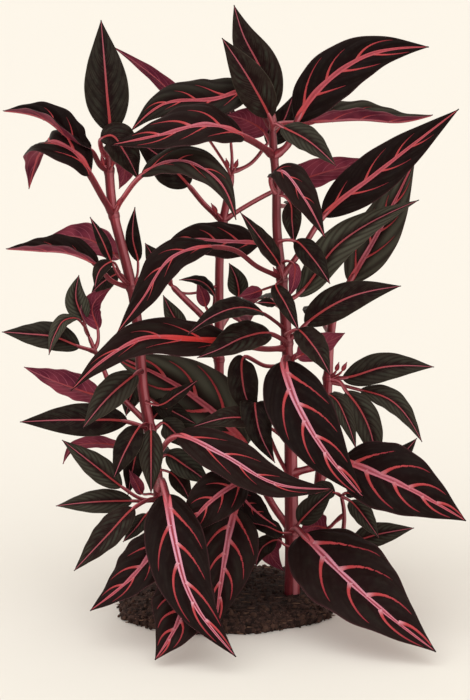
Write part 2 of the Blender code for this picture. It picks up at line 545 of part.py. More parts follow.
def fuse(base, others):
    """Joins the others to the base with one union, applied, and removes them."""
    group = bpy.data.collections.new("joined")
    bpy.context.scene.collection.children.link(group)
    for other in others:
        group.objects.link(other)
    union = base.modifiers.new("union", "BOOLEAN")
    union.operation = "UNION"
    union.operand_type = "COLLECTION"
    union.collection = group
    union.solver = "MANIFOLD"
    bpy.context.view_layer.update()
    shape = bpy.data.meshes.new_from_object(base.evaluated_get(bpy.context.evaluated_depsgraph_get()))
    base.modifiers.clear()
    base.data = shape
    for other in others:
        bpy.data.objects.remove(other)
    bpy.data.collections.remove(group)


def tidy_mesh(made):
    """Welds points closer than a hundredth of a millimetre and drops faces with no area."""
    work = bmesh.new()
    work.from_mesh(made.data)
    bmesh.ops.remove_doubles(work, verts=work.verts, dist=1e-5)
    bmesh.ops.dissolve_degenerate(work, dist=1e-6, edges=work.edges)
    bmesh.ops.triangulate(work, faces=work.faces)
    work.to_mesh(made.data)
    work.free()


def leafy_stem(name, node, finish):
    """A stem with its shoots, leaves and young leaves as one body."""
    owners = [name] + [shoot for shoot, stem in STEMS.items() if stem.parent == name]
    base = stem_solid(name, finish)
    base.name = node
    others = [stem_solid(owner, finish) for owner in owners[1:]]
    leaves = [leaf for leaf in LEAVES if leaf.stem in owners]
    leaves += [bud_leaf(*bud) for bud in BUDS if bud[0] == name]
    others += [leaf_solid(f"leaf_{index}", leaf, finish) for index, leaf in enumerate(leaves)]
    fuse(base, others)
    tidy_mesh(base)
    return base


def soil_mound(finish):
    """A low mound with a ragged rim, flat below, with a plain hole for each stem."""
    draw = random.Random(7)
    rim = []
    for sector in range(SOIL_SECTORS):
        turn = 2 * math.pi * sector / SOIL_SECTORS
        ragged = 1 + 0.03 * math.sin(3 * turn + 1) + 0.02 * math.sin(7 * turn) + draw.uniform(-0.025, 0.025)
        across = math.copysign(abs(math.cos(turn)) ** SOIL_SQUARE, math.cos(turn))
        along = math.copysign(abs(math.sin(turn)) ** SOIL_SQUARE, math.sin(turn))
        rim.append((across * SOIL_HALF_WIDTH * ragged, along * SOIL_HALF_DEPTH * ragged))
    points = [(0, SOIL_BACK, SOIL_TOP)]
    for step in SOIL_STEPS:
        height = SOIL_RIM + (SOIL_TOP - SOIL_RIM) * (1 - step ** 4)
        for across, along in rim:
            crumb = draw.uniform(-SOIL_CRUMB, SOIL_CRUMB)
            points.append((across * step, SOIL_BACK + along * step, height + crumb))
    points += [(across, SOIL_BACK + along, 0) for across, along in rim]
    points.append((0, SOIL_BACK, 0))
    rings = len(SOIL_STEPS) + 1
    faces = []
    for sector in range(SOIL_SECTORS):
        after = (sector + 1) % SOIL_SECTORS
        faces.append((0, 1 + sector, 1 + after))
        for ring in range(rings - 1):
            near, far = 1 + ring * SOIL_SECTORS, 1 + (ring + 1) * SOIL_SECTORS
            faces.append((near + sector, far + sector, far + after))
            faces.append((near + sector, far + after, near + after))
        under = 1 + (rings - 1) * SOIL_SECTORS
        faces.append((len(points) - 1, under + after, under + sector))
    mound = mesh_object("soil_mound", points, faces, finish)
    for name, stem in STEMS.items():
        if stem.parent is None:
            foot = stem_axis(name)[0]
            work = bmesh.new()
            bmesh.ops.create_cone(work, cap_ends=True, segments=16, depth=0.03,
                                  radius1=(stem.foot_mm * MM + CLEARANCE) / math.cos(math.pi / 16),
                                  radius2=(stem.foot_mm * MM + CLEARANCE) / math.cos(math.pi / 16))
            bmesh.ops.translate(work, verts=work.verts, vec=(foot[0], foot[1], HOLE_FLOOR + 0.015))
            hole = bpy.data.meshes.new("hole")
            work.to_mesh(hole)
            work.free()
            cutter = bpy.data.objects.new("hole", hole)
            bpy.context.scene.collection.objects.link(cutter)
            cut = mound.modifiers.new("hole", "BOOLEAN")
            cut.operation = "DIFFERENCE"
            cut.object = cutter
            bpy.context.view_layer.update()
            seen = mound.evaluated_get(bpy.context.evaluated_depsgraph_get())
            shape = bpy.data.meshes.new_from_object(seen)
            mound.modifiers.clear()
            mound.data = shape
            bpy.data.objects.remove(cutter)
    tidy_mesh(mound)
    return mound


def main():
    """Clears the scene and builds the mound and the four leafy stems."""
    for old in list(bpy.data.objects):
        bpy.data.objects.remove(old)
    leaf_green = material("bloodleaf", (0.012, 0.008, 0.009), 0.5)
    soil_brown = material("soil", (0.03, 0.017, 0.012), 0.95)
    soil_mound(soil_brown)
    for name, stem in STEMS.items():
        if stem.parent is None:
            made = leafy_stem(name, f"{name}_leafy_stem", leaf_green)
            print(made.name, len(made.data.polygons))


main()
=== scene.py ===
"""The looks of a bloodleaf plant: leaves, veins, stems and soil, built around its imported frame.

Metres, +Z up, the eye of the picture at -Y. Run as a script, it registers the add-on and builds
every piece in order.
"""

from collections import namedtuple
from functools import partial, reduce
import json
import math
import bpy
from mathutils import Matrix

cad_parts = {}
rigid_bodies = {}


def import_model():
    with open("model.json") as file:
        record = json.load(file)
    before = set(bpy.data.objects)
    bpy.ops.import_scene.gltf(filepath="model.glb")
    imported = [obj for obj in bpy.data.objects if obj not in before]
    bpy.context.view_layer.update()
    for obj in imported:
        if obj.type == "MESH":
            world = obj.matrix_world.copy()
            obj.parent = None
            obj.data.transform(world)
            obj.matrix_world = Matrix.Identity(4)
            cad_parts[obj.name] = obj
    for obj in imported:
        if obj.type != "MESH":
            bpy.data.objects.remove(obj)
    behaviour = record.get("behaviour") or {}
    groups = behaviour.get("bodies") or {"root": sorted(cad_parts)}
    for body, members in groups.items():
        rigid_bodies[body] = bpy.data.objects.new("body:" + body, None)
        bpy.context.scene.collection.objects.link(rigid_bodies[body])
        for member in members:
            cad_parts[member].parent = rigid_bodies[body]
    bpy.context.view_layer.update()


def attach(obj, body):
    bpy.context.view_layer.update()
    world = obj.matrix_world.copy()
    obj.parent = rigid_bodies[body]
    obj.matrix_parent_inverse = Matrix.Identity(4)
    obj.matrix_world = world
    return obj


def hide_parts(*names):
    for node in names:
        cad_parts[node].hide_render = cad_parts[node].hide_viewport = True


bl_info = {
    "name": "Bloodleaf plant",
    "version": (1, 0, 0),
    "blender": (4, 5, 0),
    "location": "3D View > Sidebar > Bloodleaf",
    "description": "Builds a bloodleaf plant's blades, veins, stems, soil and its stage",
    "category": "Add Mesh",
}

import bpy
import numpy as np
from bpy.props import FloatProperty, FloatVectorProperty, IntProperty, PointerProperty

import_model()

# How the plant is seen. A place is given as (across, down, toward): two pixels of a picture of
# 470 by 700, and millimetres that it stands nearer to the eye than the plane of the stems.
PICTURE_CENTRE = (235, 350)
METRES_PER_PIXEL = 0.0007
FOCAL_PIXELS = 2200
LOOK_DOWN = math.radians(13)
CENTRE_POINT = np.array((0.007, 0.0, 0.189))
FORWARD = np.array((0.0, math.cos(LOOK_DOWN), -math.sin(LOOK_DOWN)))
UPWARD = np.array((0.0, math.sin(LOOK_DOWN), math.cos(LOOK_DOWN)))
EYE = CENTRE_POINT - FORWARD * FOCAL_PIXELS * METRES_PER_PIXEL

MM = 0.001
SOIL_TOP = 0.011
STEM_FOOT = 0.0033
STEM_COLLAR = 0.015
AXIS_POINTS = 200

Stem = namedtuple("Stem", "parent row points foot_mm top_mm")
Leaf = namedtuple("Leaf", "stem row stalk blade width face finish", defaults=["slim"])

# Each stem's points from its foot up. A shoot leaves its parent at a picture row.
STEMS = {
    "left": Stem(None, None, [
        (166, 560, 10), (160, 500, 12), (155, 462, 12), (150, 430, 12), (143, 390, 12), (139, 340, 12),
        (132, 289, 12), (120, 240, 11), (114, 216, 10), (109, 171, 9), (108, 153, 8)], 4.4, 3.2),
    "centre": Stem(None, None, [
        (215, 560, -35), (218, 470, -35), (219, 385, -35), (219, 300, -35), (220, 250, -35), (223, 221, -34),
        (228, 195, -33), (232, 170, -32)], 4.3, 2.7),
    "main": Stem(None, None, [
        (292, 560, 0), (291, 480, 0), (290, 420, 0), (287, 345, 0), (282, 280, 0), (277, 232, 0),
        (276, 182, 0), (274, 156, 0), (272, 123, 0)], 5.5, 2.6),
    "right": Stem(None, None, [
        (317, 560, -20), (319, 490, -20), (325, 430, -20), (328, 376, -20), (330, 340, -20),
        (334, 312, -20), (343, 286, -22)], 4.6, 2.9),
    "left shoot": Stem("left", 424, [
        (128, 404, 4), (112, 388, 0), (103, 368, -2), (95, 351, -2), (88, 334, -2)], 2.2, 1.5),
    "centre shoot": Stem("centre", 352, [
        (213, 332, -26), (204, 318, -18), (187, 301, -17), (171, 285, -15)], 2.6, 2.2),
    "right shoot": Stem("right", 556, [
        (335, 550, -12), (342, 535, -8), (344, 512, -6), (341, 495, -4)], 1.9, 1.4),
}

# Each leaf leaves its stem at a picture row, runs up its stalk to the blade's base, and on through
# the blade to its tip. The width is in millimetres; the face is the way its upper side looks
# (right, up, toward); and a leaf is slim where nothing else is said.
LEAF_ROWS = [
    # left stem from its crown down
    ("left", [
        (160, [(109, 147, 4), (110, 133, 4)], [(107, 93, 0), (101, 20, -12)], 31, (0, .1, 1)),
        (157, [(102, 150, 8), (101, 140, 12)], [(111, 136, 14), (124, 152, 16), (138, 179, 16)],
         27, (.2, .7, .7)),
        (160, [(113, 152, 0), (119, 152, -4)], [(125, 167, -6), (119, 189, -4)], 15, (.3, .2, -.9)),
        (171, [(101, 166, 14), (91, 151, 20)], [(80, 147, 24), (45, 120, 22), (3, 111, 8)],
         28, (.2, .9, .4), "fold"),
        (215, [(103, 198, 18), (90, 175, 26)], [(76, 155, 31), (53, 143, 26), (40, 154, 6), (29, 189, -12)],
         36, (-.15, .85, .5), "bold"),
        (213, [(123, 198, 16), (141, 176, 24)], [(185, 162, 36), (219, 182, 44), (236, 220, 48)],
         27, (.1, .7, .7), "bold"),
        (288, [(137, 276, 6), (138, 262, 4)], [(133, 240, 2), (135, 207, -4)], 11, (.1, .1, 1)),
        (288, [(120, 278, 18), (111, 261, 20)], [(102, 240, 20), (90, 217, 16)], 9, (.2, .2, .95)),
        (262, [(124, 259, 3), (120, 257, 1)], [(88, 239, -6), (50, 236, -16)], 27, (-.1, .5, -.85)),
        (288, [(112, 281, 16), (98, 267, 18)], [(70, 254, 16), (38, 251, 12), (6, 249, 2)],
         25, (.1, .92, .34), "fold"),
        (286, [(121, 275, 24), (112, 262, 32)], [(102, 268, 36), (95, 288, 38)], 11, (-.3, .4, .85)),
        (290, [(126, 281, 2), (121, 274, -2)], [(108, 279, -6), (91, 294, -10)], 14, (0, .5, .85)),
        (372, [(140, 371, 22), (136, 374, 28)], [(112, 394, 36), (83, 428, 40)], 23, (-.2, .5, .85)),
        (430, [(141, 426, 16), (128, 422, 16)], [(85, 420, 18), (20, 422, 8)], 24, (0, .35, .93)),
        (430, [(146, 424, 24), (140, 427, 32)], [(127, 448, 40), (114, 478, 42)], 19, (-.2, .4, .9)),
        (430, [(151, 425, 22), (151, 430, 32)], [(151, 457, 40), (151, 493, 42)], 17, (.1, .35, .94)),
        (430, [(151, 424, 10), (153, 419, 8)], [(162, 409, 6), (179, 396, 2)], 14, (.2, .5, .85)),
        (442, [(140, 441, 4), (124, 445, 2)], [(95, 443, -2), (72, 448, -6), (63, 464, -6)],
         13, (0, .5, -.85)),
        (500, [(142, 499, 20), (122, 487, 22)], [(95, 466, 22), (62, 440, 16)], 19, (.2, .5, .85)),
        (500, [(148, 501, 16), (133, 501, 16)], [(95, 502, 18), (56, 506, 12)], 18, (0, .5, .87)),
        (500, [(148, 500, 26), (134, 508, 38)], [(108, 535, 50), (74, 571, 56)], 22, (-.3, .5, .8)),
        (497, [(150, 494, 4), (143, 494, 2)], [(137, 484, 0), (129, 470, -2)], 9, (0, .2, -1)),
        (506, [(153, 509, 22), (147, 514, 28)], [(137, 527, 34), (123, 542, 36)], 12, (-.3, .4, .85)),
        (395, [(147, 397, 8), (153, 401, 8)], [(172, 411, 6), (196, 424, 4)], 15, (0, .4, .9)),
        (400, [(149, 403, 18), (158, 405, 20)], [(178, 394, 24), (198, 380, 24)], 10, (.1, .4, .9)),
        (515, [(164, 514, 30), (165, 527, 46)], [(138, 572, 72), (90, 611, 86)], 37, (-.35, .6, .7), "bold"),
        (490, [(162, 481, 34), (166, 494, 50)], [(173, 535, 80), (192, 600, 114), (236, 657, 134)],
         42, (.1, .45, .88), "bold"),
        (535, [(173, 550, 52), (184, 572, 74)], [(181, 616, 101), (155, 660, 121)],
         44, (-.2, .55, .8), "bold"),
        (462, [(160, 452, 24), (177, 436, 44)], [(222, 455, 62), (275, 484, 72), (333, 489, 70)],
         31, (.1, .6, .8), "bold"),
        (466, [(160, 459, 22), (166, 455, 28)], [(187, 467, 32), (211, 485, 34)], 19, (.1, .5, .85)),
        (432, [(157, 427, 12), (162, 423, 12)], [(172, 430, 13), (184, 448, 13)], 18, (.1, .5, .85)),
        (386, [(141, 384, 7), (137, 384, 4)], [(131, 396, 0), (126, 416, -2)], 15, (0, .3, .95)),
        (436, [(145, 438, 6), (139, 446, 1)], [(133, 468, -3), (128, 495, -6)], 15, (0, .3, .95)),
        (474, [(161, 470, 18), (169, 472, 20)], [(181, 484, 22), (190, 502, 22)], 14, (.2, .5, .85)),
    ]),
    # the left stem's shoot
    ("left shoot", [
        (350, [(98, 341, -2), (98, 330, -2)], [(92, 308, -6), (113, 286, -12)], 17, (-.5, .1, -.85)),
        (336, [(86, 330, -2), (84, 321, -3)], [(76, 298, -5), (79, 275, -9)], 17, (0, .1, 1)),
        (336, [(84, 326, 4), (77, 319, 8)], [(64, 321, 12), (56, 333, 15), (49, 355, 16)],
         12, (-.3, .6, .7)),
        (352, [(90, 350, 3), (80, 347, 5)], [(54, 337, 5), (27, 334, 1), (2, 332, -4)], 21, (0, .5, .85)),
        (390, [(108, 394, -5), (104, 395, -7)], [(68, 386, -14), (24, 367, -24)], 26, (0, .45, -.9)),
    ]),
    # centre stem
    ("centre", [
        (222, [(205, 205, -30), (189, 186, -26)], [(166, 162, -22), (133, 138, -20)], 29, (0, .4, .9)),
        (174, [(220, 156, -34), (207, 137, -38)], [(168, 89, -40), (112, 46, -34)], 15, (.4, .35, -.85)),
        (172, [(232, 158, -36), (231, 143, -38)], [(231, 124, -40), (229, 103, -42)], 16, (0, 0, 1)),
        (173, [(250, 164, -38), (267, 144, -40)], [(283, 122, -42), (293, 95, -44)], 20, (0, .2, 1)),
        (221, [(243, 208, -32), (272, 192, -30)], [(325, 172, -24), (378, 160, -22)], 25, (.1, .5, -.85)),
        (312, [(229, 305, -26), (238, 297, -22)], [(237, 281, -20), (229, 263, -20)], 15, (0, .1, 1)),
        (362, [(203, 348, -30), (185, 333, -26)], [(173, 315, -24), (163, 295, -24)], 14, (0, .3, .95)),
        (488, [(226, 484, -10), (237, 492, 12)], [(255, 511, 22), (277, 527, 24)],
         20, (.2, .5, .85), "bold"),
        (500, [(226, 498, -6), (234, 506, 20)], [(228, 535, 41), (221, 580, 59), (215, 628, 75)],
         46, (.3, .4, .87), "bold"),
    ]),
    # the centre stem's shoot
    ("centre shoot", [
        (318, [(208, 312, -19), (206, 307, -18)], [(203, 296, -17), (197, 282, -18)], 10, (-.2, .1, -1)),
        (320, [(213, 307, -14), (214, 297, -12)], [(203, 283, -9), (179, 280, -7)], 12, (0, .85, .5)),
        (284, [(170, 279, -14), (166, 275, -13)], [(157, 262, -12), (145, 243, -12)], 16, (0, .4, .9)),
    ]),
    # main stem from its crown down
    ("main", [
        (128, [(273, 118, -3), (272, 112, -5)], [(261, 70, -12), (243, 34, -18), (234, 5, -24)],
         28, (-.1, .05, 1)),
        (130, [(272, 124, 4), (270, 118, 7)], [(254, 87, 10), (222, 38, 6)], 25, (-.15, .15, 1)),
        (128, [(280, 124, -8), (305, 123, -12)], [(361, 120, -16), (403, 122, -16), (433, 115, -14)],
         29, (0, .98, .2), "fold"),
        (128, [(277, 124, 8), (282, 127, 13)], [(308, 141, 22), (336, 166, 28)], 20, (.1, .6, .8)),
        (128, [(266, 119, -4), (252, 93, -2)], [(213, 100, 4), (163, 105, 10), (131, 131, 8)],
         31, (.1, .6, .8), "bold"),
        (150, [(270, 142, -8), (266, 134, -12)], [(248, 121, -16), (227, 115, -18)], 22, (0, .2, -1)),
        (157, [(262, 147, 8), (244, 137, 20)], [(205, 126, 36), (160, 136, 40), (112, 145, 36)],
         37, (0, .75, .65), "bold"),
        (156, [(287, 146, 6), (297, 122, 8)], [(320, 89, 14), (367, 56, 18), (429, 47, 16)],
         36, (-.15, .35, .92), "bold"),
        (193, [(272, 187, 8), (271, 177, 16)], [(281, 172, 26), (304, 199, 38), (325, 238, 44)],
         24, (.25, .55, .8), "bold"),
        (196, [(284, 196, 3), (289, 201, 4)], [(292, 222, 5), (294, 244, 5)], 14, (0, .2, 1)),
        (243, [(286, 240, 10), (295, 241, 16)], [(313, 259, 24), (330, 284, 27)], 18, (.2, .5, .85)),
        (247, [(270, 245, -9), (260, 244, -12)], [(222, 242, -8), (186, 241, -2), (159, 254, 2)],
         30, (0, .65, .75), "bold"),
        (278, [(300, 252, 6), (323, 217, 10)], [(376, 174, 16), (459, 109, 14)], 31, (-.1, .3, .95), "bold"),
        (278, [(258, 267, 12), (234, 250, 24), (213, 247, 32)],
         [(171, 259, 46), (143, 299, 52), (117, 333, 50)], 26, (-.15, .7, .7), "bold"),
        (280, [(282, 276, 12), (279, 266, 18)], [(262, 241, 24), (240, 212, 24)], 15, (.5, .4, .75)),
        (281, [(279, 282, 10), (276, 285, 16)], [(286, 305, 26), (299, 331, 28)], 13, (.2, .3, .95)),
        (284, [(271, 287, -4), (262, 290, -8)], [(250, 294, -11), (238, 297, -12)], 11, (0, .3, -.95)),
        (264, [(288, 261, 6), (293, 263, 8)], [(294, 280, 10), (288, 298, 10)], 9, (.3, 0, -.95)),
        (303, [(288, 301, 2), (296, 296, 3)], [(338, 245, 6), (419, 200, 0)], 25, (-.2, .4, .9)),
        (304, [(279, 304, 4), (275, 304, 6)], [(267, 303, 8), (256, 303, 8)], 9, (0, .8, .6)),
        (331, [(276, 322, 10), (264, 314, 20)], [(240, 308, 36), (212, 317, 52), (187, 335, 58)],
         20, (0, .75, .65)),
        (344, [(283, 340, 10), (271, 334, 18)], [(243, 338, 34), (218, 350, 46), (197, 358, 52)],
         25, (0, .65, .75)),
        (348, [(265, 349, 12), (240, 345, 22)],
         [(190, 340, 36), (140, 340, 44), (106, 359, 46), (71, 391, 40)], 30, (0, .65, .75), "bold"),
        (340, [(296, 334, 3), (305, 325, 5)], [(345, 299, 10), (401, 286, 6)], 24, (0, .3, .95)),
        (336, [(290, 332, 12), (297, 330, 19)], [(313, 346, 29), (330, 375, 33)], 21, (.3, .5, .8)),
        (364, [(291, 360, -4), (297, 357, -8)], [(320, 346, -10), (345, 333, -12)], 22, (0, .3, -.95)),
        (362, [(286, 358, 9), (284, 362, 20)], [(292, 393, 42), (318, 442, 64), (364, 498, 74)],
         45, (.1, .35, .93), "bold"),
        (364, [(266, 366, 6), (244, 357, 10)], [(243, 385, 16), (258, 422, 18)], 22, (.1, .3, .95)),
        (445, [(276, 432, 12), (257, 421, 26)], [(228, 418, 40), (193, 427, 44)], 17, (0, .6, .8)),
        (478, [(279, 458, 4), (266, 428, 8), (258, 410, 16)],
         [(255, 404, 28), (259, 430, 38), (275, 463, 42)], 22, (0, .6, .8)),
        (473, [(312, 468, 12), (341, 463, 24)], [(385, 478, 42), (466, 521, 57)], 51, (.1, .5, .85), "bold"),
        (482, [(270, 477, 22), (246, 480, 42)], [(214, 499, 58), (178, 540, 60)],
         34, (-.1, .45, .88), "bold"),
        (530, [(276, 510, -4), (262, 485, -6), (246, 447, -6)], [(192, 395, -8), (112, 354, -10)],
         52, (0, .15, .99), "bold"),
        (532, [(297, 529, 10), (303, 535, 22)], [(341, 574, 62), (392, 619, 100), (436, 652, 120)],
         63, (.15, .6, .8), "bold"),
        (530, [(296, 527, 5), (299, 523, 8)], [(313, 508, 12), (334, 489, 12)], 18, (0, .4, .9)),
        (535, [(288, 533, 11), (283, 533, 14)], [(265, 526, 20), (244, 522, 20)], 13, (0, .6, .8)),
        (546, [(285, 545, 6), (278, 540, 6)], [(265, 545, 4), (256, 567, 2)], 14, (0, .4, .9)),
        (538, [(285, 537, -6), (281, 536, -8)], [(270, 548, -10), (284, 571, -9)], 18, (-.3, .2, -.9)),
    ]),
    # right stem
    ("right", [
        (292, [(346, 288, -23), (349, 283, -24)], [(382, 226, -28), (415, 160, -36)],
         33, (-.2, .2, .97), "bold"),
        (377, [(335, 378, -18), (342, 378, -17)], [(385, 367, -15), (434, 367, -22)], 22, (0, .4, .9)),
        (380, [(340, 382, -13), (346, 391, -8)], [(359, 408, -2), (372, 438, 2), (375, 470, 4)],
         21, (.1, .4, .9)),
        (406, [(327, 400, -12), (328, 395, -6)], [(336, 400, 2), (347, 422, 8), (356, 449, 10)],
         14, (.2, .5, .85)),
        (381, [(345, 386, -20), (360, 390, -18)], [(388, 399, -12), (422, 442, -10)], 18, (.2, .6, .8)),
        (457, [(345, 468, -14), (372, 470, -14)], [(396, 459, -14), (417, 438, -16)], 16, (0, .3, .95)),
    ]),
    # the right stem's shoot
    ("right shoot", [
        (514, [(336, 521, -8), (328, 528, -9)], [(316, 526, -9), (300, 533, -8)], 20, (0, .2, -.97)),
        (497, [(338, 494, -1), (335, 493, 1)], [(324, 491, 3), (306, 503, 4)], 15, (0, .5, .85)),
        (496, [(344, 494, -2), (346, 493, 0)], [(351, 494, 2), (359, 495, 3)], 7, (0, .6, .8)),
        (497, [(345, 498, 3), (350, 501, 9)], [(357, 508, 15), (367, 521, 19), (379, 538, 20)],
         16, (.2, .6, .8)),
        (540, [(346, 541, -5), (351, 541, -3)], [(380, 534, 2), (414, 528, -2)], 18, (0, .5, .87)),
    ]),
    # the far side, which the picture hides
    ("left", [
        (340, [(141, 338, -8), (145, 335, -22)], [(152, 336, -48), (158, 346, -72)], 24, (0, .9, -.3)),
        (470, [(158, 464, -8), (158, 458, -24)], [(150, 450, -52), (143, 455, -78)], 26, (0, .9, -.3)),
        (545, [(170, 540, -8), (176, 534, -26)], [(186, 528, -58), (194, 528, -84)], 26, (.3, .9, -.3)),
    ]),
    ("centre", [
        (260, [(216, 252, -48), (210, 244, -60)], [(198, 243, -86), (186, 256, -108)],
         28, (0, .9, -.3), "bold"),
        (330, [(223, 324, -48), (227, 318, -62)], [(236, 316, -90), (246, 328, -112)],
         30, (.2, .9, -.3), "bold"),
        (430, [(214, 424, -50), (208, 418, -66)], [(200, 416, -94), (190, 428, -118)],
         30, (0, .9, -.3), "bold"),
        (520, [(222, 514, -50), (232, 508, -66)], [(246, 504, -96), (258, 510, -118)],
         30, (.2, .9, -.3), "bold"),
    ]),
    ("main", [
        (205, [(284, 206, -12), (292, 207, -30)], [(304, 208, -56), (316, 216, -80)], 24, (.2, .9, -.3)),
        (310, [(276, 304, -14), (270, 300, -30)], [(256, 300, -58), (240, 312, -80)], 26, (-.2, .9, -.3)),
        (410, [(292, 404, -14), (295, 398, -32)], [(300, 398, -64), (304, 414, -92)],
         28, (0, .9, -.3), "bold"),
        (500, [(286, 492, -14), (282, 486, -30)], [(274, 480, -60), (264, 480, -88)],
         28, (-.2, .9, -.3), "bold"),
    ]),
    ("right", [
        (335, [(326, 328, -34), (322, 320, -48)], [(320, 310, -74), (326, 306, -98)], 26, (0, .9, -.3)),
        (410, [(332, 404, -32), (340, 400, -48)], [(354, 402, -76), (366, 420, -98)], 26, (.3, .9, -.3)),
        (480, [(328, 474, -34), (334, 470, -50)], [(346, 470, -80), (358, 482, -104)],
         28, (.3, .9, -.3), "bold"),
        (545, [(332, 540, -30), (340, 538, -44)], [(352, 540, -70), (362, 548, -88)], 24, (.3, .9, -.3)),
    ]),
]
LEAVES = [Leaf(stem, *row) for stem, rows in LEAF_ROWS for row in rows]

# Young leaves in the nodes: stem, row, base and tip
BUDS = [
    ("left", 172, (104, 165, 14), (101, 154, 15)),
    ("left", 172, (112, 166, 14), (115, 157, 15)),
    ("left", 214, (118, 205, 18), (121, 197, 20)),
    ("centre", 176, (228, 168, -28), (226, 158, -28)),
    ("centre", 176, (235, 168, -28), (238, 159, -28)),
    ("centre", 222, (217, 213, -28), (211, 203, -28)),
    ("right", 378, (336, 371, -14), (339, 362, -12)),
    ("right", 378, (342, 371, -12), (347, 362, -12)),
]

# Where a stem carries a pair of leaves it is swollen: stem and row
NODES = [("left", 171), ("left", 215), ("left", 288), ("left", 430), ("left", 500), ("centre", 172),
         ("centre", 221), ("centre", 360), ("main", 156), ("main", 279), ("main", 343), ("main", 363),
         ("main", 476), ("main", 532), ("right", 378)]


def place(across, down, toward):
    """The point on the eye's ray through a picture place, at its depth before the stems' plane."""
    right = (across - PICTURE_CENTRE[0]) / FOCAL_PIXELS
    rise = (PICTURE_CENTRE[1] - down) / FOCAL_PIXELS
    ray = FORWARD + np.array((right, 0, 0)) + UPWARD * rise
    return EYE + ray * ((-toward * MM - EYE[1]) / ray[1])


def curve(points, count):
    """A smooth curve through the points: cubic spans with chord-length knots, sampled evenly."""
    points = np.asarray(points, float)
    steps = np.maximum(np.linalg.norm(np.diff(points, axis=0), axis=1), 1e-6)
    knots = np.concatenate(([0], np.cumsum(steps)))
    slopes = np.gradient(points, knots, axis=0)
    if len(points) > 2:
        slopes[0] = 1.5 * (points[1] - points[0]) / steps[0] - 0.5 * slopes[1]
        slopes[-1] = 1.5 * (points[-1] - points[-2]) / steps[-1] - 0.5 * slopes[-2]
    at = np.linspace(0, 1, count) * knots[-1]
    span = np.clip(np.searchsorted(knots, at, side="right") - 1, 0, len(steps) - 1)
    length = steps[span][:, None]
    t = (at - knots[span])[:, None] / length
    start, end = points[span], points[span + 1]
    return (start * (2 * t**3 - 3 * t**2 + 1) + slopes[span] * length * (t**3 - 2 * t**2 + t)
            + end * (3 * t**2 - 2 * t**3) + slopes[span + 1] * length * (t**3 - t**2))


def seen_row(points):
    """The picture rows at which points are seen."""
    offset = points - EYE
    return PICTURE_CENTRE[1] - FOCAL_PIXELS * (offset @ UPWARD) / (offset @ FORWARD)


def stem_axis(name):
    """A stem's centre line from its foot up: upright in the soil, then smooth."""
    stem = STEMS[name]
    points = [place(*point) for point in stem.points]
    if stem.parent:
        return curve([stem_point(stem.parent, stem.row)] + points, AXIS_POINTS)
    foot, collar = (np.array((*points[0][:2], height)) for height in (STEM_FOOT, STEM_COLLAR))
    return curve([foot, collar] + points, AXIS_POINTS)


def stem_point(name, row):
    """The point of a stem's centre line that is seen at a picture row."""
    line = stem_axis(name)
    return line[np.argmin(np.abs(seen_row(line) - row))]


def leaf_line(leaf):
    """The points of a leaf's centre line from the stem to its tip, and the share that is stalk."""
    root = stem_point(leaf.stem, leaf.row)
    points = np.array([root] + [place(*point) for point in leaf.stalk + leaf.blade])
    steps = np.linalg.norm(np.diff(points, axis=0), axis=1)
    return points, steps[:len(leaf.stalk)].sum() / steps.sum()


def unit(rows):
    """Vectors in rows, each at length one."""
    return rows / np.linalg.norm(rows, axis=1)[:, None]


def frames(line, face, middle):
    """Upper normals and sides along a line: the face is met at its middle, and from there each
    normal is the one before it, less what points along the line."""
    tangents = unit(np.gradient(line, axis=0))
    right, up, toward = face
    wanted = np.array((right, -toward, up), float)
    normals = np.zeros_like(line)
    normals[middle] = wanted - tangents[middle] * (wanted @ tangents[middle])
    normals[middle] /= np.linalg.norm(normals[middle])
    for index in list(range(middle + 1, len(line))) + list(range(middle - 1, -1, -1)):
        before = normals[index - 1 if index > middle else index + 1]
        turned = before - tangents[index] * (before @ tangents[index])
        normals[index] = turned / np.linalg.norm(turned)
    return normals, np.cross(tangents, normals)


def blade_width(share):
    """Half the blade's width, from 0 to 1, at a share of its length: an egg-lance shape that is
    widest two fifths up and draws out to its tip."""
    share = np.clip(share, 0, 1)
    return np.sin(np.pi * share ** 0.7) ** 0.92 * (1 - 0.26 * share ** 4)


OWNERS = ("left", "centre", "main", "right")
TONE_SEED = 11

# Blades. Angles are in radians, and bulge, pillow and wave are shares of a blade's half-width.
FINE = 160
BLADE_CUP = 0.18
FOLD_CUP = 0.9
BULGE = 0.1
BOLD_PILLOW = 0.1
SLIM_PILLOW = 0.045
MARGIN_WAVE = 0.05
WAVE_TURN = 29
WAVE_SHIFT = 900
TIP_HALF = 0.00035
MARGIN_THICKNESS = 0.3
SMALL_MM = 12
YOUNG_MM = 4
BUD_WIDTH = 3.4
BLADE_GRIDS = {"small": (20, 9), "bold": (60, 25), "slim": (60, 17)}

# Veins, as shares of a blade's length and half-width, and lengths in metres
BOLD_VEINS = 4.5
SLIM_VEINS = 9.0
FIRST_VEIN = 0.1
BOLD_SWEEP = (0.13, 0.27)
SLIM_SWEEP = (0.12, 0.2)
VEIN_REACH = 0.84
VEIN_END = 0.97
VEINED_MM = 14
VEIN_LIFT = 0.0002
VEIN_STEPS = 22
SIDE_VEINS = 5
VEIN_SIDES = 6
VEIN_HALF = 0.014
VEIN_HEIGHT = 0.0003
VEIN_LEAST = 0.0001
# Pairs for a small leaf and a grand one: blade widths in millimetres, a midrib's half-width as a
# share of the stalk's, where the last side vein starts, how far the veins reach, how uneven they
# are, their half-widths at the root and along the run, and the power by which the run thins out
GRAND_MM = (24, 40)
BOLD_RIB = (0.74, 1.08)
LAST_START = (0.62, 0.78)
GRAND_REACH = (0.6, 1.0)
UNEVEN = (0.22, 0.08)
ROOT_HALF = (0.0006, 0.0011)
RUN_HALF = (0.0008, 0.00105)
RUN_POWER = (1.1, 0.55)

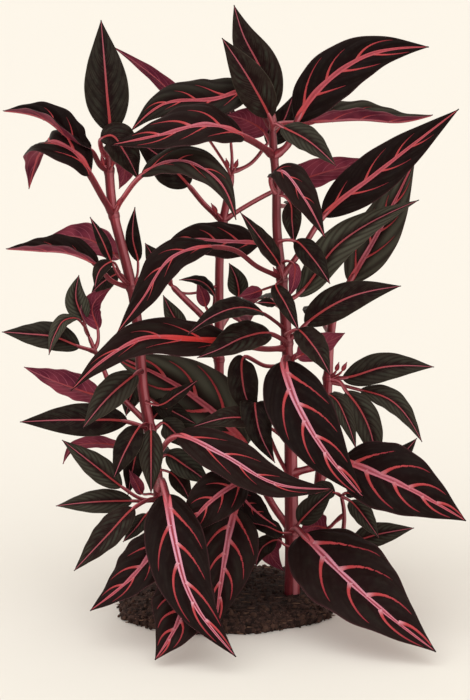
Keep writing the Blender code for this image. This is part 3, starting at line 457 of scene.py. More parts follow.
# Midribs. A pair is for a slim leaf and a bold one: the steps along it and the power by which it
# thins out. Its height, in metres, is meant for a blade of the half-width that follows it.
RIB_STEPS = (24, 48)
RIB_POWER = (0.9, 0.72)
RIB_POINTS = 9
RIB_END = 0.985
RIB_LEAST = 0.0002
RIB_HEIGHT = 0.00055
RIB_HALF = 0.012
RIB_ABOVE = 0.00012
RIB_BELOW = 0.00004
RIB_UNDER = 0.0004
RIB_MARGIN = 0.96
SLIM_RIB = 0.46
BRIGHT_MORE = 0.45

# Stalks, whose radius is a share of the blade's width between two limits in millimetres, and stems
STALK_SHARE = 0.066
STALK_LEAST = 0.9
STALK_MOST = 2.6
STALK_STEPS = 22
STALK_SIDES = 12
STALK_OVERLAP = 0.09
ROOT_SWELL = 0.35
ROOT_SWELL_AT = 0.004
ROOT_SWELL_LENGTH = 0.0035
THIN_FROM = 0.8
THIN_BY = 0.75
GROOVE = 0.14
STEM_SIDES = 20
STEM_STEPS = 150
SHOOT_STEPS = 70
STEM_END = (0.9, 0.75, 0.5, 0.2)
RIDGES = 0.02
TWIST = 0.01
NODE_SWELL = 0.26
SWELL_LENGTH = 0.0024

# Soil, in metres. A wave of the rim is a share, a count and a shift; a layer of bites or lumps is a
# height, a size and a seed.
SOIL_HALF_WIDTH = 0.08
SOIL_HALF_DEPTH = 0.068
SOIL_BACK = 0.012
SOIL_SQUARE = 0.82
SOIL_RIM = 0.0035
RIM_WAVES = ((0.03, 3, 1), (0.02, 7, 0))
RIM_BITES = ((0.05, 0.09, 3), (0.035, 0.025, 4))
SOIL_LUMPS = ((0.0016, 0.014, 5), (0.0018, 0.005, 6), (0.0011, 0.002, 8))
RIM_POINTS = 220
SOIL_RINGS = 76
SOIL_PIN = 0.004
SOIL_BELLY = 1.004
CRUMB_SEED = 21
RIM_FROM = 0.93
RIM_BAND = 0.1
INNER = 0.95
OUTSIDE = 0.985
CRUMB_LEAST = 0.0006
CRUMB_MORE = 0.0014
CRUMB_RINGS = 5
CRUMB_SIDES = 6
CRUMB_ROUGH = 0.5
STRAW_SHARE = 0.07
STRAW_LEAST = 0.0022
STRAW_MORE = 0.002
STRAW_HALVES = (0.0005, 0.0004)

# How much painted olive-grey sheen the paler leaves carry, by a leaf's row and its tip's column
OLIVE_SHEEN_SHARES = {(160, 101): 0.15, (213, 236): 0.35, (336, 79): 1.0, (336, 49): 0.95, (352, 2): 0.3,
                (372, 83): 0.4, (432, 184): 0.4, (500, 62): 0.6, (500, 56): 0.5, (506, 123): 0.5,
                (386, 126): 0.5, (466, 211): 0.5, (312, 229): 0.55, (362, 163): 0.85, (284, 145): 0.4,
                (128, 433): 0.7, (128, 336): 0.5, (128, 131): 0.2, (303, 419): 1.0, (292, 415): 0.9,
                (380, 375): 0.45, (406, 356): 0.5, (381, 422): 0.5, (377, 434): 0.3, (410, 366): 0.3,
                (497, 379): 0.5, (497, 306): 0.35, (540, 414): 0.4, (514, 300): 0.4, (530, 112): 1.0,
                (530, 334): 0.35, (545, 362): 0.3, (430, 151): 0.25, (364, 345): 0.3}

# Leaves whose midrib is thick and bright red over its first half, by the same key
BRIGHT_RIBS = {(348, 71): 1.0}

# How far the front leaves' midribs are lilac, by the same key
PALE_RIBS = {(490, 236): 1.0, (535, 155): 0.5, (500, 215): 0.45, (362, 364): 0.85, (473, 466): 0.4,
             (530, 112): 0.1, (532, 436): 0.8, (462, 333): 0.75, (515, 90): 0.3, (193, 325): 0.5}

# Stretches of the stems darkened with painted shade: rows of the picture, and how dark the stem is at each
PAINTED_SHADE_STRETCHES = {"main": ((150, 300, 400), (1, 1, 0)), "left": ((215, 240, 300, 360), (0, 1, 0.8, 0))}

# Tiny crimson spikes in the axils: stem, row, root and tip
SPIKES = [
    ("centre", 285, (173, 287, -15), (165, 276, -13)),
    ("main", 279, (278, 276, 2), (273, 267, 5)),
    ("main", 363, (291, 361, 3), (297, 352, 6)),
    ("left", 288, (135, 286, 14), (139, 277, 16)),
    ("centre", 360, (217, 357, -32), (212, 348, -30)),
]

# The stage: half the floor's side and how far the camera sees, in metres, its sensor in
# millimetres, and each light's name, tilt and turn in degrees and share of the power
FLOOR_HALF = 14
CAMERA_REACH = 60
SENSOR = 36
LIGHTS = (("key", 32, -34, 1.0), ("fill", 50, 40, 0.3))
LIGHT_SPREAD = 70

Form = namedtuple("Form", "line normals sides stalk half cup bold")


def leaf_form(leaf):
    """A leaf's centre line as fine points with its upper normals and sides, and its measures."""
    points, stalk = leaf_line(leaf)
    line = curve(points, FINE + 1)
    middle = int(FINE * (stalk + 0.5 * (1 - stalk)))
    normals, sides = frames(line, leaf.face, middle)
    cup = FOLD_CUP if leaf.finish == "fold" else BLADE_CUP
    return Form(line, normals, sides, stalk, leaf.width * MM / 2, cup, leaf.finish != "slim")


def along_line(form, share):
    """Points, upper normals and sides of a leaf's centre line at shares of its whole length."""
    at = np.clip(np.asarray(share, float), 0, 1) * FINE
    low = np.minimum(at.astype(int), FINE - 1)
    part = (at - low)[..., None]
    return [rows[low] * (1 - part) + rows[low + 1] * part for rows in (form.line, form.normals, form.sides)]


def along_blade(form, along):
    """Points, upper normals and sides at shares of the blade alone, past the stalk."""
    return along_line(form, form.stalk + (1 - form.stalk) * along)


def vein_phase(form, along, across):
    """A number that is whole on each side vein: the share along the blade, less the veins' sweep
    towards the tip, times the veins in a blade's length. The two halves of the blade are half a
    step apart."""
    count = BOLD_VEINS if form.bold else SLIM_VEINS
    return (along - FIRST_VEIN - vein_sweep(form, np.abs(across))) * count + 0.5 * (across > 0)


def vein_sweep(form, out):
    """How far a side vein has swept towards the tip at a distance from the midrib: one part grows
    with the distance and one with its square."""
    straight, curved = BOLD_SWEEP if form.bold else SLIM_SWEEP
    return straight * out + curved * out ** 2


def on_blade(form, along, across, over):
    """Points of a blade. Across runs from -1 to 1 between its margins. Each half rises from the
    midrib by the cup's angle, bulges as half a sine wave, carries pillows between its side veins
    and waves a little at its margin; over lifts the point off the middle of its thickness."""
    line, normals, sides = along_blade(form, along)
    half = np.maximum(blade_width(along) * form.half, TIP_HALF)
    out = np.abs(across)
    pillow = np.sin(np.pi * vein_phase(form, along, across)) ** 2
    pillow = pillow * np.sin(np.pi * out ** 0.8) * (BOLD_PILLOW if form.bold else SLIM_PILLOW)
    bulge = BULGE * np.sin(np.pi * out)
    wave = MARGIN_WAVE * out ** 3 * np.sin(along * WAVE_TURN + form.half * WAVE_SHIFT + 2 * (across > 0))
    lift = half * (out * math.sin(form.cup) + bulge + pillow + wave) + over
    reach = half * across * math.cos(form.cup)
    return line + sides * reach[..., None] + normals * lift[..., None]


def tube_faces(rings, sides):
    """Quads around a stack of rings, and a strip of quads across each end ring."""
    ring, side = np.meshgrid(np.arange(rings - 1), np.arange(sides), indexing="ij")
    after = (side + 1) % sides
    body = np.stack((ring * sides + side, ring * sides + after,
                     (ring + 1) * sides + after, (ring + 1) * sides + side), axis=-1).reshape(-1, 4)
    low = np.arange(sides // 2 - 1)
    foot = np.stack((low, sides - 1 - low, sides - 2 - low, low + 1), axis=-1)
    head = np.stack((low, low + 1, sides - 2 - low, sides - 1 - low), axis=-1) + (rings - 1) * sides
    return np.concatenate((body, foot, head))


def outward(points, faces):
    """The faces, turned round where the volume they close comes out negative."""
    a, b, c, d = (points[faces[:, column]] for column in range(4))
    volume = np.einsum("ij,ij->i", a, np.cross(b, c)).sum() + np.einsum("ij,ij->i", a, np.cross(c, d)).sum()
    return faces if volume > 0 else faces[:, ::-1]


def put(name, data):
    """A new object with its data, linked into the scene."""
    made = bpy.data.objects.new(name, data)
    bpy.context.scene.collection.objects.link(made)
    return made


def make_piece(name, tubes, material, nodes=()):
    """One object from tubes: each is an array of rings of points and a dict of values per point.
    The object stays at the origin and rides on the frame's only body."""
    points, faces, values, start = [], [], {}, 0
    for rings, told in tubes:
        flat = rings.reshape(-1, 3)
        flat_faces = outward(flat, tube_faces(rings.shape[0], rings.shape[1]))
        points.append(flat)
        faces.append(flat_faces + start)
        start += len(flat)
        for key, value in told.items():
            spread = np.broadcast_to(value, rings.shape[:2]).reshape(-1)
            values.setdefault(key, []).append(spread)
    points, faces = np.concatenate(points), np.concatenate(faces)
    mesh = bpy.data.meshes.new(name)
    mesh.vertices.add(len(points))
    mesh.vertices.foreach_set("co", points.astype(np.float32).reshape(-1))
    mesh.loops.add(faces.size)
    mesh.loops.foreach_set("vertex_index", faces.astype(np.int32).reshape(-1))
    mesh.polygons.add(len(faces))
    mesh.polygons.foreach_set("loop_start", np.arange(len(faces), dtype=np.int32) * 4)
    mesh.polygons.foreach_set("use_smooth", np.ones(len(faces), bool))
    mesh.update(calc_edges=True)
    for key, parts in values.items():
        attribute = mesh.attributes.new(key, "FLOAT", "POINT")
        attribute.data.foreach_set("value", np.concatenate(parts).astype(np.float32))
    mesh.validate()
    mesh.materials.append(material)
    piece = put(name, mesh)
    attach(piece, "root")
    if nodes:
        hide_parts(*nodes)
    return piece


def shoots_of(owner):
    """A leafy stem and its shoots."""
    return [owner] + [name for name, stem in STEMS.items() if stem.parent == owner]


def key_of(leaf):
    """What a leaf goes by in the tables of looks: its row and its tip's column."""
    return leaf.row, leaf.blade[-1][0]


def leaves_of(owner):
    """The leaves and young leaves of a leafy stem and of its shoots."""
    found = [leaf for leaf in LEAVES if leaf.stem in shoots_of(owner)]
    return found + [bud_leaf(*bud) for bud in BUDS + SPIKES if bud[0] == owner]


def bud_leaf(stem, row, base, tip):
    """A young folded leaf as a small slim leaf with no long stalk."""
    middle = tuple((a + b) / 2 for a, b in zip(base, tip))
    return Leaf(stem, row, [base], [middle, tip], BUD_WIDTH, (0, 0.2, 1))


def blade_tube(leaf, tone, thick):
    """A blade as one closed tube of flat rings: its upper points from margin to margin, then its
    lower points back."""
    form = leaf_form(leaf)
    rows, columns = BLADE_GRIDS["small" if leaf.width < SMALL_MM else "bold" if form.bold else "slim"]
    along = np.linspace(0, 1, rows) ** 0.92
    across = np.sin(np.linspace(-math.pi / 2, math.pi / 2, columns))
    grid_along, grid_across = np.meshgrid(along, np.concatenate((across, across[::-1])), indexing="ij")
    upper = np.concatenate((np.ones(columns), np.zeros(columns)))[None, :]
    inner = np.sqrt(np.clip(1 - grid_across ** 2, 0, 1))
    over = (upper - 0.5) * thick * (MARGIN_THICKNESS + (1 - MARGIN_THICKNESS) * inner)
    points = on_blade(form, grid_along, grid_across, over)
    return points, {"along": grid_along, "across": grid_across, "upper": upper,
                    "bold": float(form.bold), "young": float(leaf.width < YOUNG_MM), "tone": tone,
                    "olive": OLIVE_SHEEN_SHARES.get(key_of(leaf), 0.0)}


def full_turn(count):
    """Evenly spaced angles round a circle."""
    return np.linspace(0, 2 * math.pi, count, endpoint=False)


def rings_along(line, sides, normals, wide, tall):
    """Rings of points round a line: each goes so far to the side and so far up the normal."""
    return line[:, None] + sides[:, None] * wide[..., None] + normals[:, None] * tall[..., None]


def ribbon(points, normals, halves, heights, sides):
    """A rounded ribbon along points: an ellipse at each, with a half-width and a half-height."""
    tangents = unit(np.gradient(points, axis=0))
    beside = unit(np.cross(tangents, normals))
    turn = full_turn(sides) + math.pi / sides
    rings = rings_along(points, beside, np.cross(beside, tangents),
                        np.cos(turn) * halves[:, None], np.sin(turn) * heights[:, None])
    return rings, np.broadcast_to(np.cos(turn)[None, :], rings.shape[:2])


def blade_normals(form, along, across):
    """The blade's normals, as the cross product of its slopes along and across."""
    step, flat = 0.004, 0 * along
    ahead = on_blade(form, np.minimum(along + step, 1), across, flat)
    behind = on_blade(form, along - step, across, flat)
    right, left = (on_blade(form, along, across + beside, flat) for beside in (step, -step))
    normals = unit(np.cross(right - left, ahead - behind))
    upper = along_blade(form, along)[1]
    return normals * np.sign(np.einsum("ij,ij->i", normals, upper))[:, None]


def rib_tube(form, widest, tone):
    """A midrib as one closed tube on the blade: its half-width falls by a power of the share along
    the blade, and it stands out above and below as half an ellipse."""
    along = np.linspace(0, RIB_END, RIB_STEPS[form.bold])[:, None]
    half = np.maximum(blade_width(along) * form.half, TIP_HALF)
    wide = widest * (1 - along) ** RIB_POWER[form.bold] + RIB_LEAST
    fold = np.sin(np.linspace(-math.pi / 2, math.pi / 2, RIB_POINTS))[None, :]
    top = np.sqrt(np.clip(1 - fold ** 2, 0, 1))
    across = np.clip(fold * wide / half, -RIB_MARGIN, RIB_MARGIN)
    tall = RIB_HEIGHT * (form.half / RIB_HALF) ** 0.3 * (1 - along) ** 0.5 + 0.0001
    grid = np.broadcast_to(along, across.shape)
    above = on_blade(form, grid, across, RIB_ABOVE + tall * top)
    below = on_blade(form, grid, across, -RIB_BELOW - (RIB_UNDER + 0.6 * tall) * top)
    rings = np.concatenate((above, below[:, ::-1]), axis=1)
    told = np.concatenate((fold, fold[:, ::-1]), axis=1)
    return rings, {"along": along, "across": told, "rank": 0.0 if form.bold else 2.0, "tone": tone}


def between(pair, share):
    """The value at a share of the way from the first of a pair to the second."""
    return pair[0] + (pair[1] - pair[0]) * share


def vein_tubes(leaf, tone):
    """A leaf's midrib, and on a bold leaf its side veins, which start wide at the midrib, sweep
    towards the tip and end short of the margin."""
    form = leaf_form(leaf)
    grand = min(max((leaf.width - GRAND_MM[0]) / (GRAND_MM[1] - GRAND_MM[0]), 0), 1)
    bright = BRIGHT_RIBS.get(key_of(leaf), 0.0)
    share = (between(BOLD_RIB, grand) if form.bold else SLIM_RIB) * (1 + BRIGHT_MORE * bright)
    tubes = [rib_tube(form, stalk_radius(leaf) * share, tone)]
    tubes[0][1]["bright"] = bright
    if not form.bold or leaf.width < VEINED_MM:
        return tubes
    reach = np.linspace(0, 1, VEIN_STEPS)
    for side in (-1, 1):
        for step in range(SIDE_VEINS):
            start = FIRST_VEIN + (step - (0.5 if side > 0 else 0)) / BOLD_VEINS
            if not 0.02 <= start <= between(LAST_START, grand):
                continue
            uneven = 1 + between(UNEVEN, grand) * math.sin(leaf.row + 2.4 * step + 3.1 * side)
            limit = VEIN_REACH * between(GRAND_REACH, grand) * (1 - 0.15 * start) * min(uneven, 1.1)
            out = reach * limit
            vein_along = start + vein_sweep(form, out)
            keep = vein_along < VEIN_END
            if keep.sum() < 6:
                continue
            vein_along, out, told = vein_along[keep], out[keep], reach[keep]
            points = on_blade(form, vein_along, side * out, 0 * out + VEIN_LIFT)
            facing = blade_normals(form, vein_along, side * out)
            size = (form.half / VEIN_HALF) ** 0.6 * (1 - 0.35 * start)
            root = between(ROOT_HALF, grand) * (1 - told) ** 8
            run = between(RUN_HALF, grand) * (1 - told) ** between(RUN_POWER, grand)
            wide = size * (root + run) + VEIN_LEAST
            tall = VEIN_LIFT + size * VEIN_HEIGHT * (1 - told) ** 0.4
            rings, across = ribbon(points, facing, wide, tall, VEIN_SIDES)
            tubes.append((rings, {"along": told[:, None], "across": across, "rank": 1.0, "tone": tone,
                                  "bright": bright * max(0, 1 - 2.5 * start)}))
    return tubes


def stalk_radius(leaf):
    """A stalk's radius: a share of its blade's width, within limits."""
    return min(max(leaf.width * STALK_SHARE, STALK_LEAST), STALK_MOST) * MM


def stalk_tube(leaf, tone):
    """A leaf's stalk: a round tube, wider at its root in the stem, that thins out in the midrib."""
    form = leaf_form(leaf)
    reach = form.stalk + (1 - form.stalk) * STALK_OVERLAP
    share = np.linspace(0, 1, STALK_STEPS)
    line, normals, sides = along_line(form, reach * share)
    lengths = np.linalg.norm(np.diff(form.line, axis=0), axis=1).sum() * reach * share
    swell = ROOT_SWELL * np.exp(-((lengths - ROOT_SWELL_AT) / ROOT_SWELL_LENGTH) ** 2)
    thin = THIN_BY * (np.maximum(share - THIN_FROM, 0) / (1 - THIN_FROM)) ** 2
    radii = stalk_radius(leaf) * (1.02 + swell) * (1 - thin)
    turn = full_turn(STALK_SIDES)
    groove = 1 - GROOVE * np.exp(-((turn - math.pi / 2) / 0.5) ** 2)
    rings = rings_along(line, sides, normals, np.cos(turn) * radii[:, None],
                        np.sin(turn) * groove * radii[:, None])
    return rings, {"round": np.cos(turn)[None, :], "knot": 0.0, "painted_shade": 0.0, "tone": tone}


def stem_tube(name):
    """A stem: a tapered tube with faint ridges, swollen at each node where leaves stand."""
    stem = STEMS[name]
    line = stem_axis(name)
    rows = seen_row(line)
    lengths = np.concatenate(([0], np.cumsum(np.linalg.norm(np.diff(line, axis=0), axis=1))))
    fine = np.linspace(0, lengths[-1], SHOOT_STEPS if stem.parent else STEM_STEPS)
    line = np.stack([np.interp(fine, lengths, line[:, axis]) for axis in range(3)], axis=1)
    radii = (stem.foot_mm + (stem.top_mm - stem.foot_mm) * fine / fine[-1]) * MM
    knot = np.zeros(len(fine))
    for owner, row in NODES:
        if owner == name:
            node = lengths[int(np.argmin(np.abs(rows - row)))]
            knot = np.maximum(knot, np.exp(-((fine - node) / SWELL_LENGTH) ** 2))
    radii = radii * (1 + NODE_SWELL * knot)
    radii[-len(STEM_END):] *= STEM_END
    normals, sides = frames(line, (0, 0, 1), len(line) // 2)
    turn = full_turn(STEM_SIDES)
    ridge = 1 + RIDGES * np.cos(5 * turn) + TWIST * np.sin(9 * turn + fine[:, None] * 60)
    rings = rings_along(line, sides, normals, np.cos(turn) * ridge * radii[:, None],
                        np.sin(turn) * ridge * radii[:, None])
    # Painted shade along the stem's darker stretches
    painted_shade = np.interp(seen_row(line), *PAINTED_SHADE_STRETCHES.get(name, ((0, 1), (0, 0))))
    return rings, {"round": np.cos(turn)[None, :], "knot": knot[:, None], "painted_shade": painted_shade[:, None], "tone": 0.0}


def lumps(across, along, size, seed):
    """Smooth noise from 0 to 1: seeded values on a square lattice, eased between its corners."""
    table = np.random.default_rng(seed).random((64, 64))
    x, y = across / size + 500, along / size + 500
    left, low = np.floor(x).astype(int), np.floor(y).astype(int)
    part_x, part_y = x - left, y - low
    ease_x, ease_y = part_x ** 2 * (3 - 2 * part_x), part_y ** 2 * (3 - 2 * part_y)
    rows = [table[(left + dx) % 64, (low + dy) % 64] for dx in (0, 1) for dy in (0, 1)]
    near = rows[0] * (1 - ease_y) + rows[1] * ease_y
    far = rows[2] * (1 - ease_y) + rows[3] * ease_y
    return near * (1 - ease_x) + far * ease_x


def rough_sum(across, along, layers):
    """Layers of seeded lumps, added up round nought: the height, size and seed of each."""
    return sum(height * (lumps(across, along, size, seed) - 0.5) for height, size, seed in layers)


def soil_rim(turn):
    """The mound's ragged outline round its middle: an oval, squarer by the power of its cosine and
    sine, with slow waves and fine seeded bites."""
    ragged = 1 + sum(share * np.sin(count * turn + shift) for share, count, shift in RIM_WAVES)
    circle = np.cos(turn), np.sin(turn)
    ragged += rough_sum(*circle, RIM_BITES)
    return [np.sign(part) * np.abs(part) ** SOIL_SQUARE * half * ragged
            for part, half in zip(circle, (SOIL_HALF_WIDTH, SOIL_HALF_DEPTH))]


def soil_height(across, along, step):
    """The mound's height: a flat-topped dome by the fourth power of the step from middle to rim,
    with its lumps."""
    dome = SOIL_RIM + (SOIL_TOP - SOIL_RIM) * (1 - step ** 4)
    return dome + rough_sum(across, along, SOIL_LUMPS) * (1 - 0.3 * step ** 8)


def soil_tube():
    """The mound as rings from the middle of its top to its rim and back under to the middle."""
    rim_x, rim_y = soil_rim(full_turn(RIM_POINTS))
    steps = np.concatenate(([SOIL_PIN], np.linspace(0.02, 1, SOIL_RINGS) ** 0.8))
    x, y = rim_x[None, :] * steps[:, None], rim_y[None, :] * steps[:, None]
    top = np.stack((x, y, soil_height(x, y, steps[:, None] + 0 * x)), axis=-1)
    side = np.stack((rim_x * SOIL_BELLY, rim_y * SOIL_BELLY, 0.4 * top[-1, :, 2]), axis=-1)[None]
    under = np.stack((rim_x, rim_y, 0 * rim_x), axis=-1)[None]
    inner = np.stack((rim_x * 0.01, rim_y * 0.01, 0 * rim_x), axis=-1)[None]
    rings = np.concatenate((top, side, under, inner)) + (0, SOIL_BACK, 0)
    reach = np.concatenate((steps, (1, 1, 0)))[:, None]
    return rings, {"loose": 0.0, "tone": 0.5, "reach": reach}


def crumb_tubes(count, rim_share):
    """Crumbs of soil: small seeded lumpy balls, sunk into the mound's top and heaped at its rim."""
    draw = np.random.default_rng(CRUMB_SEED)
    turn = draw.random(count) * 2 * math.pi
    at_rim = draw.random(count) < rim_share
    step = np.where(at_rim, RIM_FROM + RIM_BAND * draw.random(count), np.sqrt(draw.random(count)) * INNER)
    rim_x, rim_y = soil_rim(turn)
    x, y = rim_x * step, rim_y * step
    size = CRUMB_LEAST + CRUMB_MORE * draw.random(count) ** 2.5
    height = np.where(step > OUTSIDE, size * 0.7, soil_height(x, y, step) + size * 0.1)
    polar = np.linspace(0.25, math.pi - 0.25, CRUMB_RINGS)[:, None]
    around = full_turn(CRUMB_SIDES)
    ball = np.stack((np.sin(polar) * np.cos(around), np.sin(polar) * np.sin(around),
                     np.cos(polar) + 0 * around), axis=-1)
    straw = draw.random(count) < STRAW_SHARE
    tubes = []
    for index in range(count):
        rough = 1 + CRUMB_ROUGH * (draw.random((CRUMB_RINGS, CRUMB_SIDES, 1)) - 0.5)
        scale = size[index] * (0.7 + 0.6 * draw.random(3))
        if straw[index]:
            scale = np.array((STRAW_LEAST + STRAW_MORE * draw.random(), *STRAW_HALVES))
        centre = np.array((x[index], y[index] + SOIL_BACK, max(height[index], scale[2] * 1.25)))
        tubes.append((centre + ball * rough * scale,
                      {"loose": 1.0, "tone": draw.random() + straw[index], "reach": step[index]}))
    return tubes


# Sizes of the patterns in millimetres: patches of light on a blade, breaks in its ribbing, flush of
# its underside, flecks on the veins, streaks and blotches along a stem, and clods, grit and crumble
# of the soil. A leaf's veinlets stand under 1 mm apart and a stem's fibres under 0.3 mm, too fine to
# show, so three ribs are drawn between two side veins and the streaks are 0.9 mm wide.
LIGHT_PATCH = 12
HATCH_BREAK = 5
FLUSH = 16
FLECK = 1.6
STREAK = 0.9
BLOTCH = 9
CLOD = 3.5
GRIT = 1.1
CRUMBLE = 1.6
RIBS_BETWEEN = 3

# Shader nodes by a plain name: type, settings, the sockets its values go to in order, the output
# taken. Any other name is the operation of an arithmetic node.
NODE_KINDS = {
    "attribute": ("Attribute", {}, (), "Fac"),
    "coordinates": ("TexCoord", {}, (), "Object"),
    "scaled": ("Mapping", {}, ("Vector", "Scale"), 0),
    "noise": ("TexNoise", {}, ("Vector", "Scale", "Detail"), 0),
    "bump": ("Bump", {}, ("Height", "Distance", "Strength"), 0),
    "smooth": ("MapRange", {"interpolation_type": "SMOOTHSTEP"}, (0, 1, 2), 0),
    "mix": ("Mix", {"data_type": "RGBA"}, (0, 6, 7), 2),
    "times": ("Math", {"operation": "MULTIPLY"}, (0, 1), 0),
    "line": ("Math", {"operation": "MULTIPLY_ADD"}, (0, 1, 2), 0),
}


def colour(code):
    """An sRGB hex colour as linear red, green, blue and 1."""
    parts = np.array([int(code[at:at + 2], 16) / 255 for at in (1, 3, 5)])
    linear = np.where(parts <= 0.04045, parts / 12.92, ((parts + 0.055) / 1.055) ** 2.4)
    return (*linear.tolist(), 1.0)


def give(tree, socket, value):
    """Gives an input a number, a colour, its hex code or a link from another node's output."""
    if isinstance(value, bpy.types.NodeSocket):
        tree.links.new(value, socket)
    else:
        socket.default_value = colour(value) if isinstance(value, str) else value


def add(tree, kind, *values, **settings):
    """Adds a node with its settings and what its inputs are given, and returns the output that
    others read."""
    kind, fixed, sockets, output = NODE_KINDS.get(kind, ("Math", {"operation": kind}, (0, 1), 0))
    made = tree.nodes.new("ShaderNode" + kind)
    for name, value in {**fixed, **settings}.items():
        setattr(made, name, value)
    for key, value in zip(sockets, values):
        give(tree, made.inputs[key], value)
    return made.outputs[output]


def raw_grain(node, size, detail=2.0, stretch=(1, 1, 1)):
    """Noise with lumps of a real size in millimetres, in the object's own coordinates."""
    scaled = node("scaled", node("coordinates"), [part / (size * MM) for part in stretch])
    return node("noise", scaled, 1.0, detail)


def grain(node, size, low, high, *finer):
    """Such noise as a smooth step from 0 at low to 1 at high."""
    return node("smooth", raw_grain(node, size, *finer), low, high)


def layered(node, base, *layers):
    """A base colour with other colours laid over it in turn, each by the product of its shares."""
    for tint, *shares in layers:
        base = node("mix", reduce(partial(node, "times"), shares), base, tint)
    return base


def new_material(name, *attributes):
    """A node material: itself, the maker of its nodes, its Principled shader, what the user has set
    and the attributes."""
    made = bpy.data.materials.new(name)
    made.use_nodes = True
    node = partial(add, made.node_tree)
    told = [node("attribute", attribute_name=attribute) for attribute in attributes]
    return made, node, made.node_tree.nodes["Principled BSDF"], bpy.context.scene.bloodleaf, *told


def finish_material(made, shader, base, roughness, specular, bump=None):
    """Gives a shader its colour, roughness and shine and, where there is one, its bump."""
    given = {"Base Color": base, "Roughness": roughness, "Specular IOR Level": specular, "Normal": bump}
    for name, value in given.items():
        if value is not None:
            give(made.node_tree, shader.inputs[name], value)
    return made


def blade_material():
    """Bloodleaf blade, a matt living leaf with a dull cuticle: almost black above with painted olive-grey
    highlights on the pillows between its side veins and on the paler leaves, ribs with paler lines of
    painted highlight and an olive rim of painted highlight, plum below with paler veins."""
    made, node, shader, chosen, along, across, bold, upper, tone, olive, young = new_material(
        "bloodleaf blade", "along", "across", "bold", "upper", "tone", "olive", "young")
    out = node("ABSOLUTE", across)
    # The side veins' phase, as the blade's own surface has it
    straight, curved = [node("line", bold, BOLD_SWEEP[part] - SLIM_SWEEP[part], SLIM_SWEEP[part])
                        for part in (0, 1)]
    sweep = node("times", out, node("line", out, curved, straight))
    shifted = node("SUBTRACT", node("SUBTRACT", along, FIRST_VEIN), sweep)
    count = node("line", bold, BOLD_VEINS - SLIM_VEINS, SLIM_VEINS)
    phase = node("line", shifted, count, node("times", node("GREATER_THAN", across, 0.0), 0.5))
    swing, ribbing = [node("ABSOLUTE", node("SINE", node("times", phase, ribs * math.pi)))
                      for ribs in (1, RIBS_BETWEEN)]
    pillow = node("smooth", swing, 0.25, 1.0)
    # The ribbing between the side veins: a bump, with paler lines of painted highlight along it
    ribs_and_highlight = node("times", node("smooth", ribbing, 0.3, 1.0), grain(node, HATCH_BREAK, 0.4, 0.62))
    rim = node("smooth", out, 0.94, 0.995)
    # Above: painted highlights on the pillows, painted olive-grey sheen, a greener flank, a warm core,
    # ribs with painted highlight, the rim, partly painted highlight, and buds
    top = layered(node, node("mix", tone, "#110606", chosen.blade_colour),
                  # Painted highlight: olive-grey light in patches on the pillows between the side veins
                  (node("mix", tone, "#23251F", "#3A3E34"), pillow, node("smooth", out, 0.06, 0.45),
                   node("smooth", out, 0.95, 0.6), grain(node, LIGHT_PATCH, 0.42, 0.68),
                   node("line", bold, -0.6, 0.8), node("line", tone, 0.5, 0.4)),
                  # Painted sheen: the paler leaves turn olive-grey, most on the pillows and away from the
                  # midrib
                  ("#55564A", olive, node("line", pillow, 0.4, 0.35), node("smooth", out, 0.02, 0.5)),
                  (node("mix", bold, "#2E2620", "#261A18"), node("smooth", out, 0.4, 0.95),
                   node("line", tone, 0.3, 0.12)),
                  ("#230D10", node("smooth", out, 0.5, 0.05), 0.4),
                  # Painted highlight along the ribs, mostly on slim leaves
                  ("#4A443A", ribs_and_highlight, node("line", bold, -0.17, 0.22)),
                  # The rim: a painted olive-grey highlight on slim leaves; on bold ones the underside's
                  # crimson where the margin turns
                  (node("mix", bold, "#4B4A3C", "#4A2A2E"), rim, 0.45),
                  ("#8F3B45", young))
    # Below: paler veins and the rim
    below = layered(node, node("mix", grain(node, FLUSH, 0.3, 0.7), "#5C2033", "#873A4B"),
                    ("#B9677A", node("smooth", swing, 0.22, 0.04), 0.5),
                    ("#B5808A", rim, 0.7))
    height = node("line", ribs_and_highlight, 0.35, node("times", swing, 0.65))
    return finish_material(made, shader, node("mix", upper, below, top), 0.5, 0.06,
                           node("bump", height, 0.0002, 1.0))


def vein_material():
    """Bloodleaf veins, smooth ribs of a living leaf: pink midribs with a crimson centre line, side
    veins from pink at the midrib to red at their ends."""
    made, node, shader, chosen, along, across, rank, tone, bright = new_material(
        "bloodleaf vein", "along", "across", "rank", "tone", "bright")
    out = node("ABSOLUTE", across)
    # A midrib fades to its tip and is redder at its root, darker at its edges and along its centre
    midrib = layered(node, node("mix", tone, "#B2535E", chosen.midrib_colour),
                     ("#B85058", node("smooth", along, 0.25, 1.0), node("line", tone, -0.4, 1.0)),
                     (node("mix", tone, "#BC4647", "#C4545C"), node("smooth", along, 0.3, 0.0)),
                     ("#A2303C", node("smooth", out, 0.72, 0.98), node("line", tone, -0.35, 0.75)),
                     ("#8A1B2E", node("smooth", out, 0.46, 0.16), node("line", tone, 0.45, 0.5),
                      node("smooth", along, 0.02, 0.2)),
                     ("#8E323B", node("smooth", along, 0.06, -0.015)))
    side = layered(node, node("mix", tone, "#B4545B", "#DDA3B2"),
                   ("#B13F43", node("smooth", along, 0.0, 0.3)),
                   ("#84242F", node("smooth", along, 0.4, 1.0)))
    slim = node("mix", node("smooth", along, 0.1, 0.9), "#A03739", "#A0525F")
    # The rank tells a bold leaf's midrib, 0, from its side veins, 1, and a slim leaf's midrib, 2
    base = layered(node, midrib,
                   (side, node("LESS_THAN", node("ABSOLUTE", node("SUBTRACT", rank, 1.0)), 0.4)),
                   (slim, node("GREATER_THAN", rank, 1.5)),
                   ("#CE3733", bright, node("smooth", along, 0.75, 0.25)),
                   ("#9C2C3A", grain(node, FLECK, 0.5, 0.75), 0.3))
    return finish_material(made, shader, base, 0.5, 0.2)


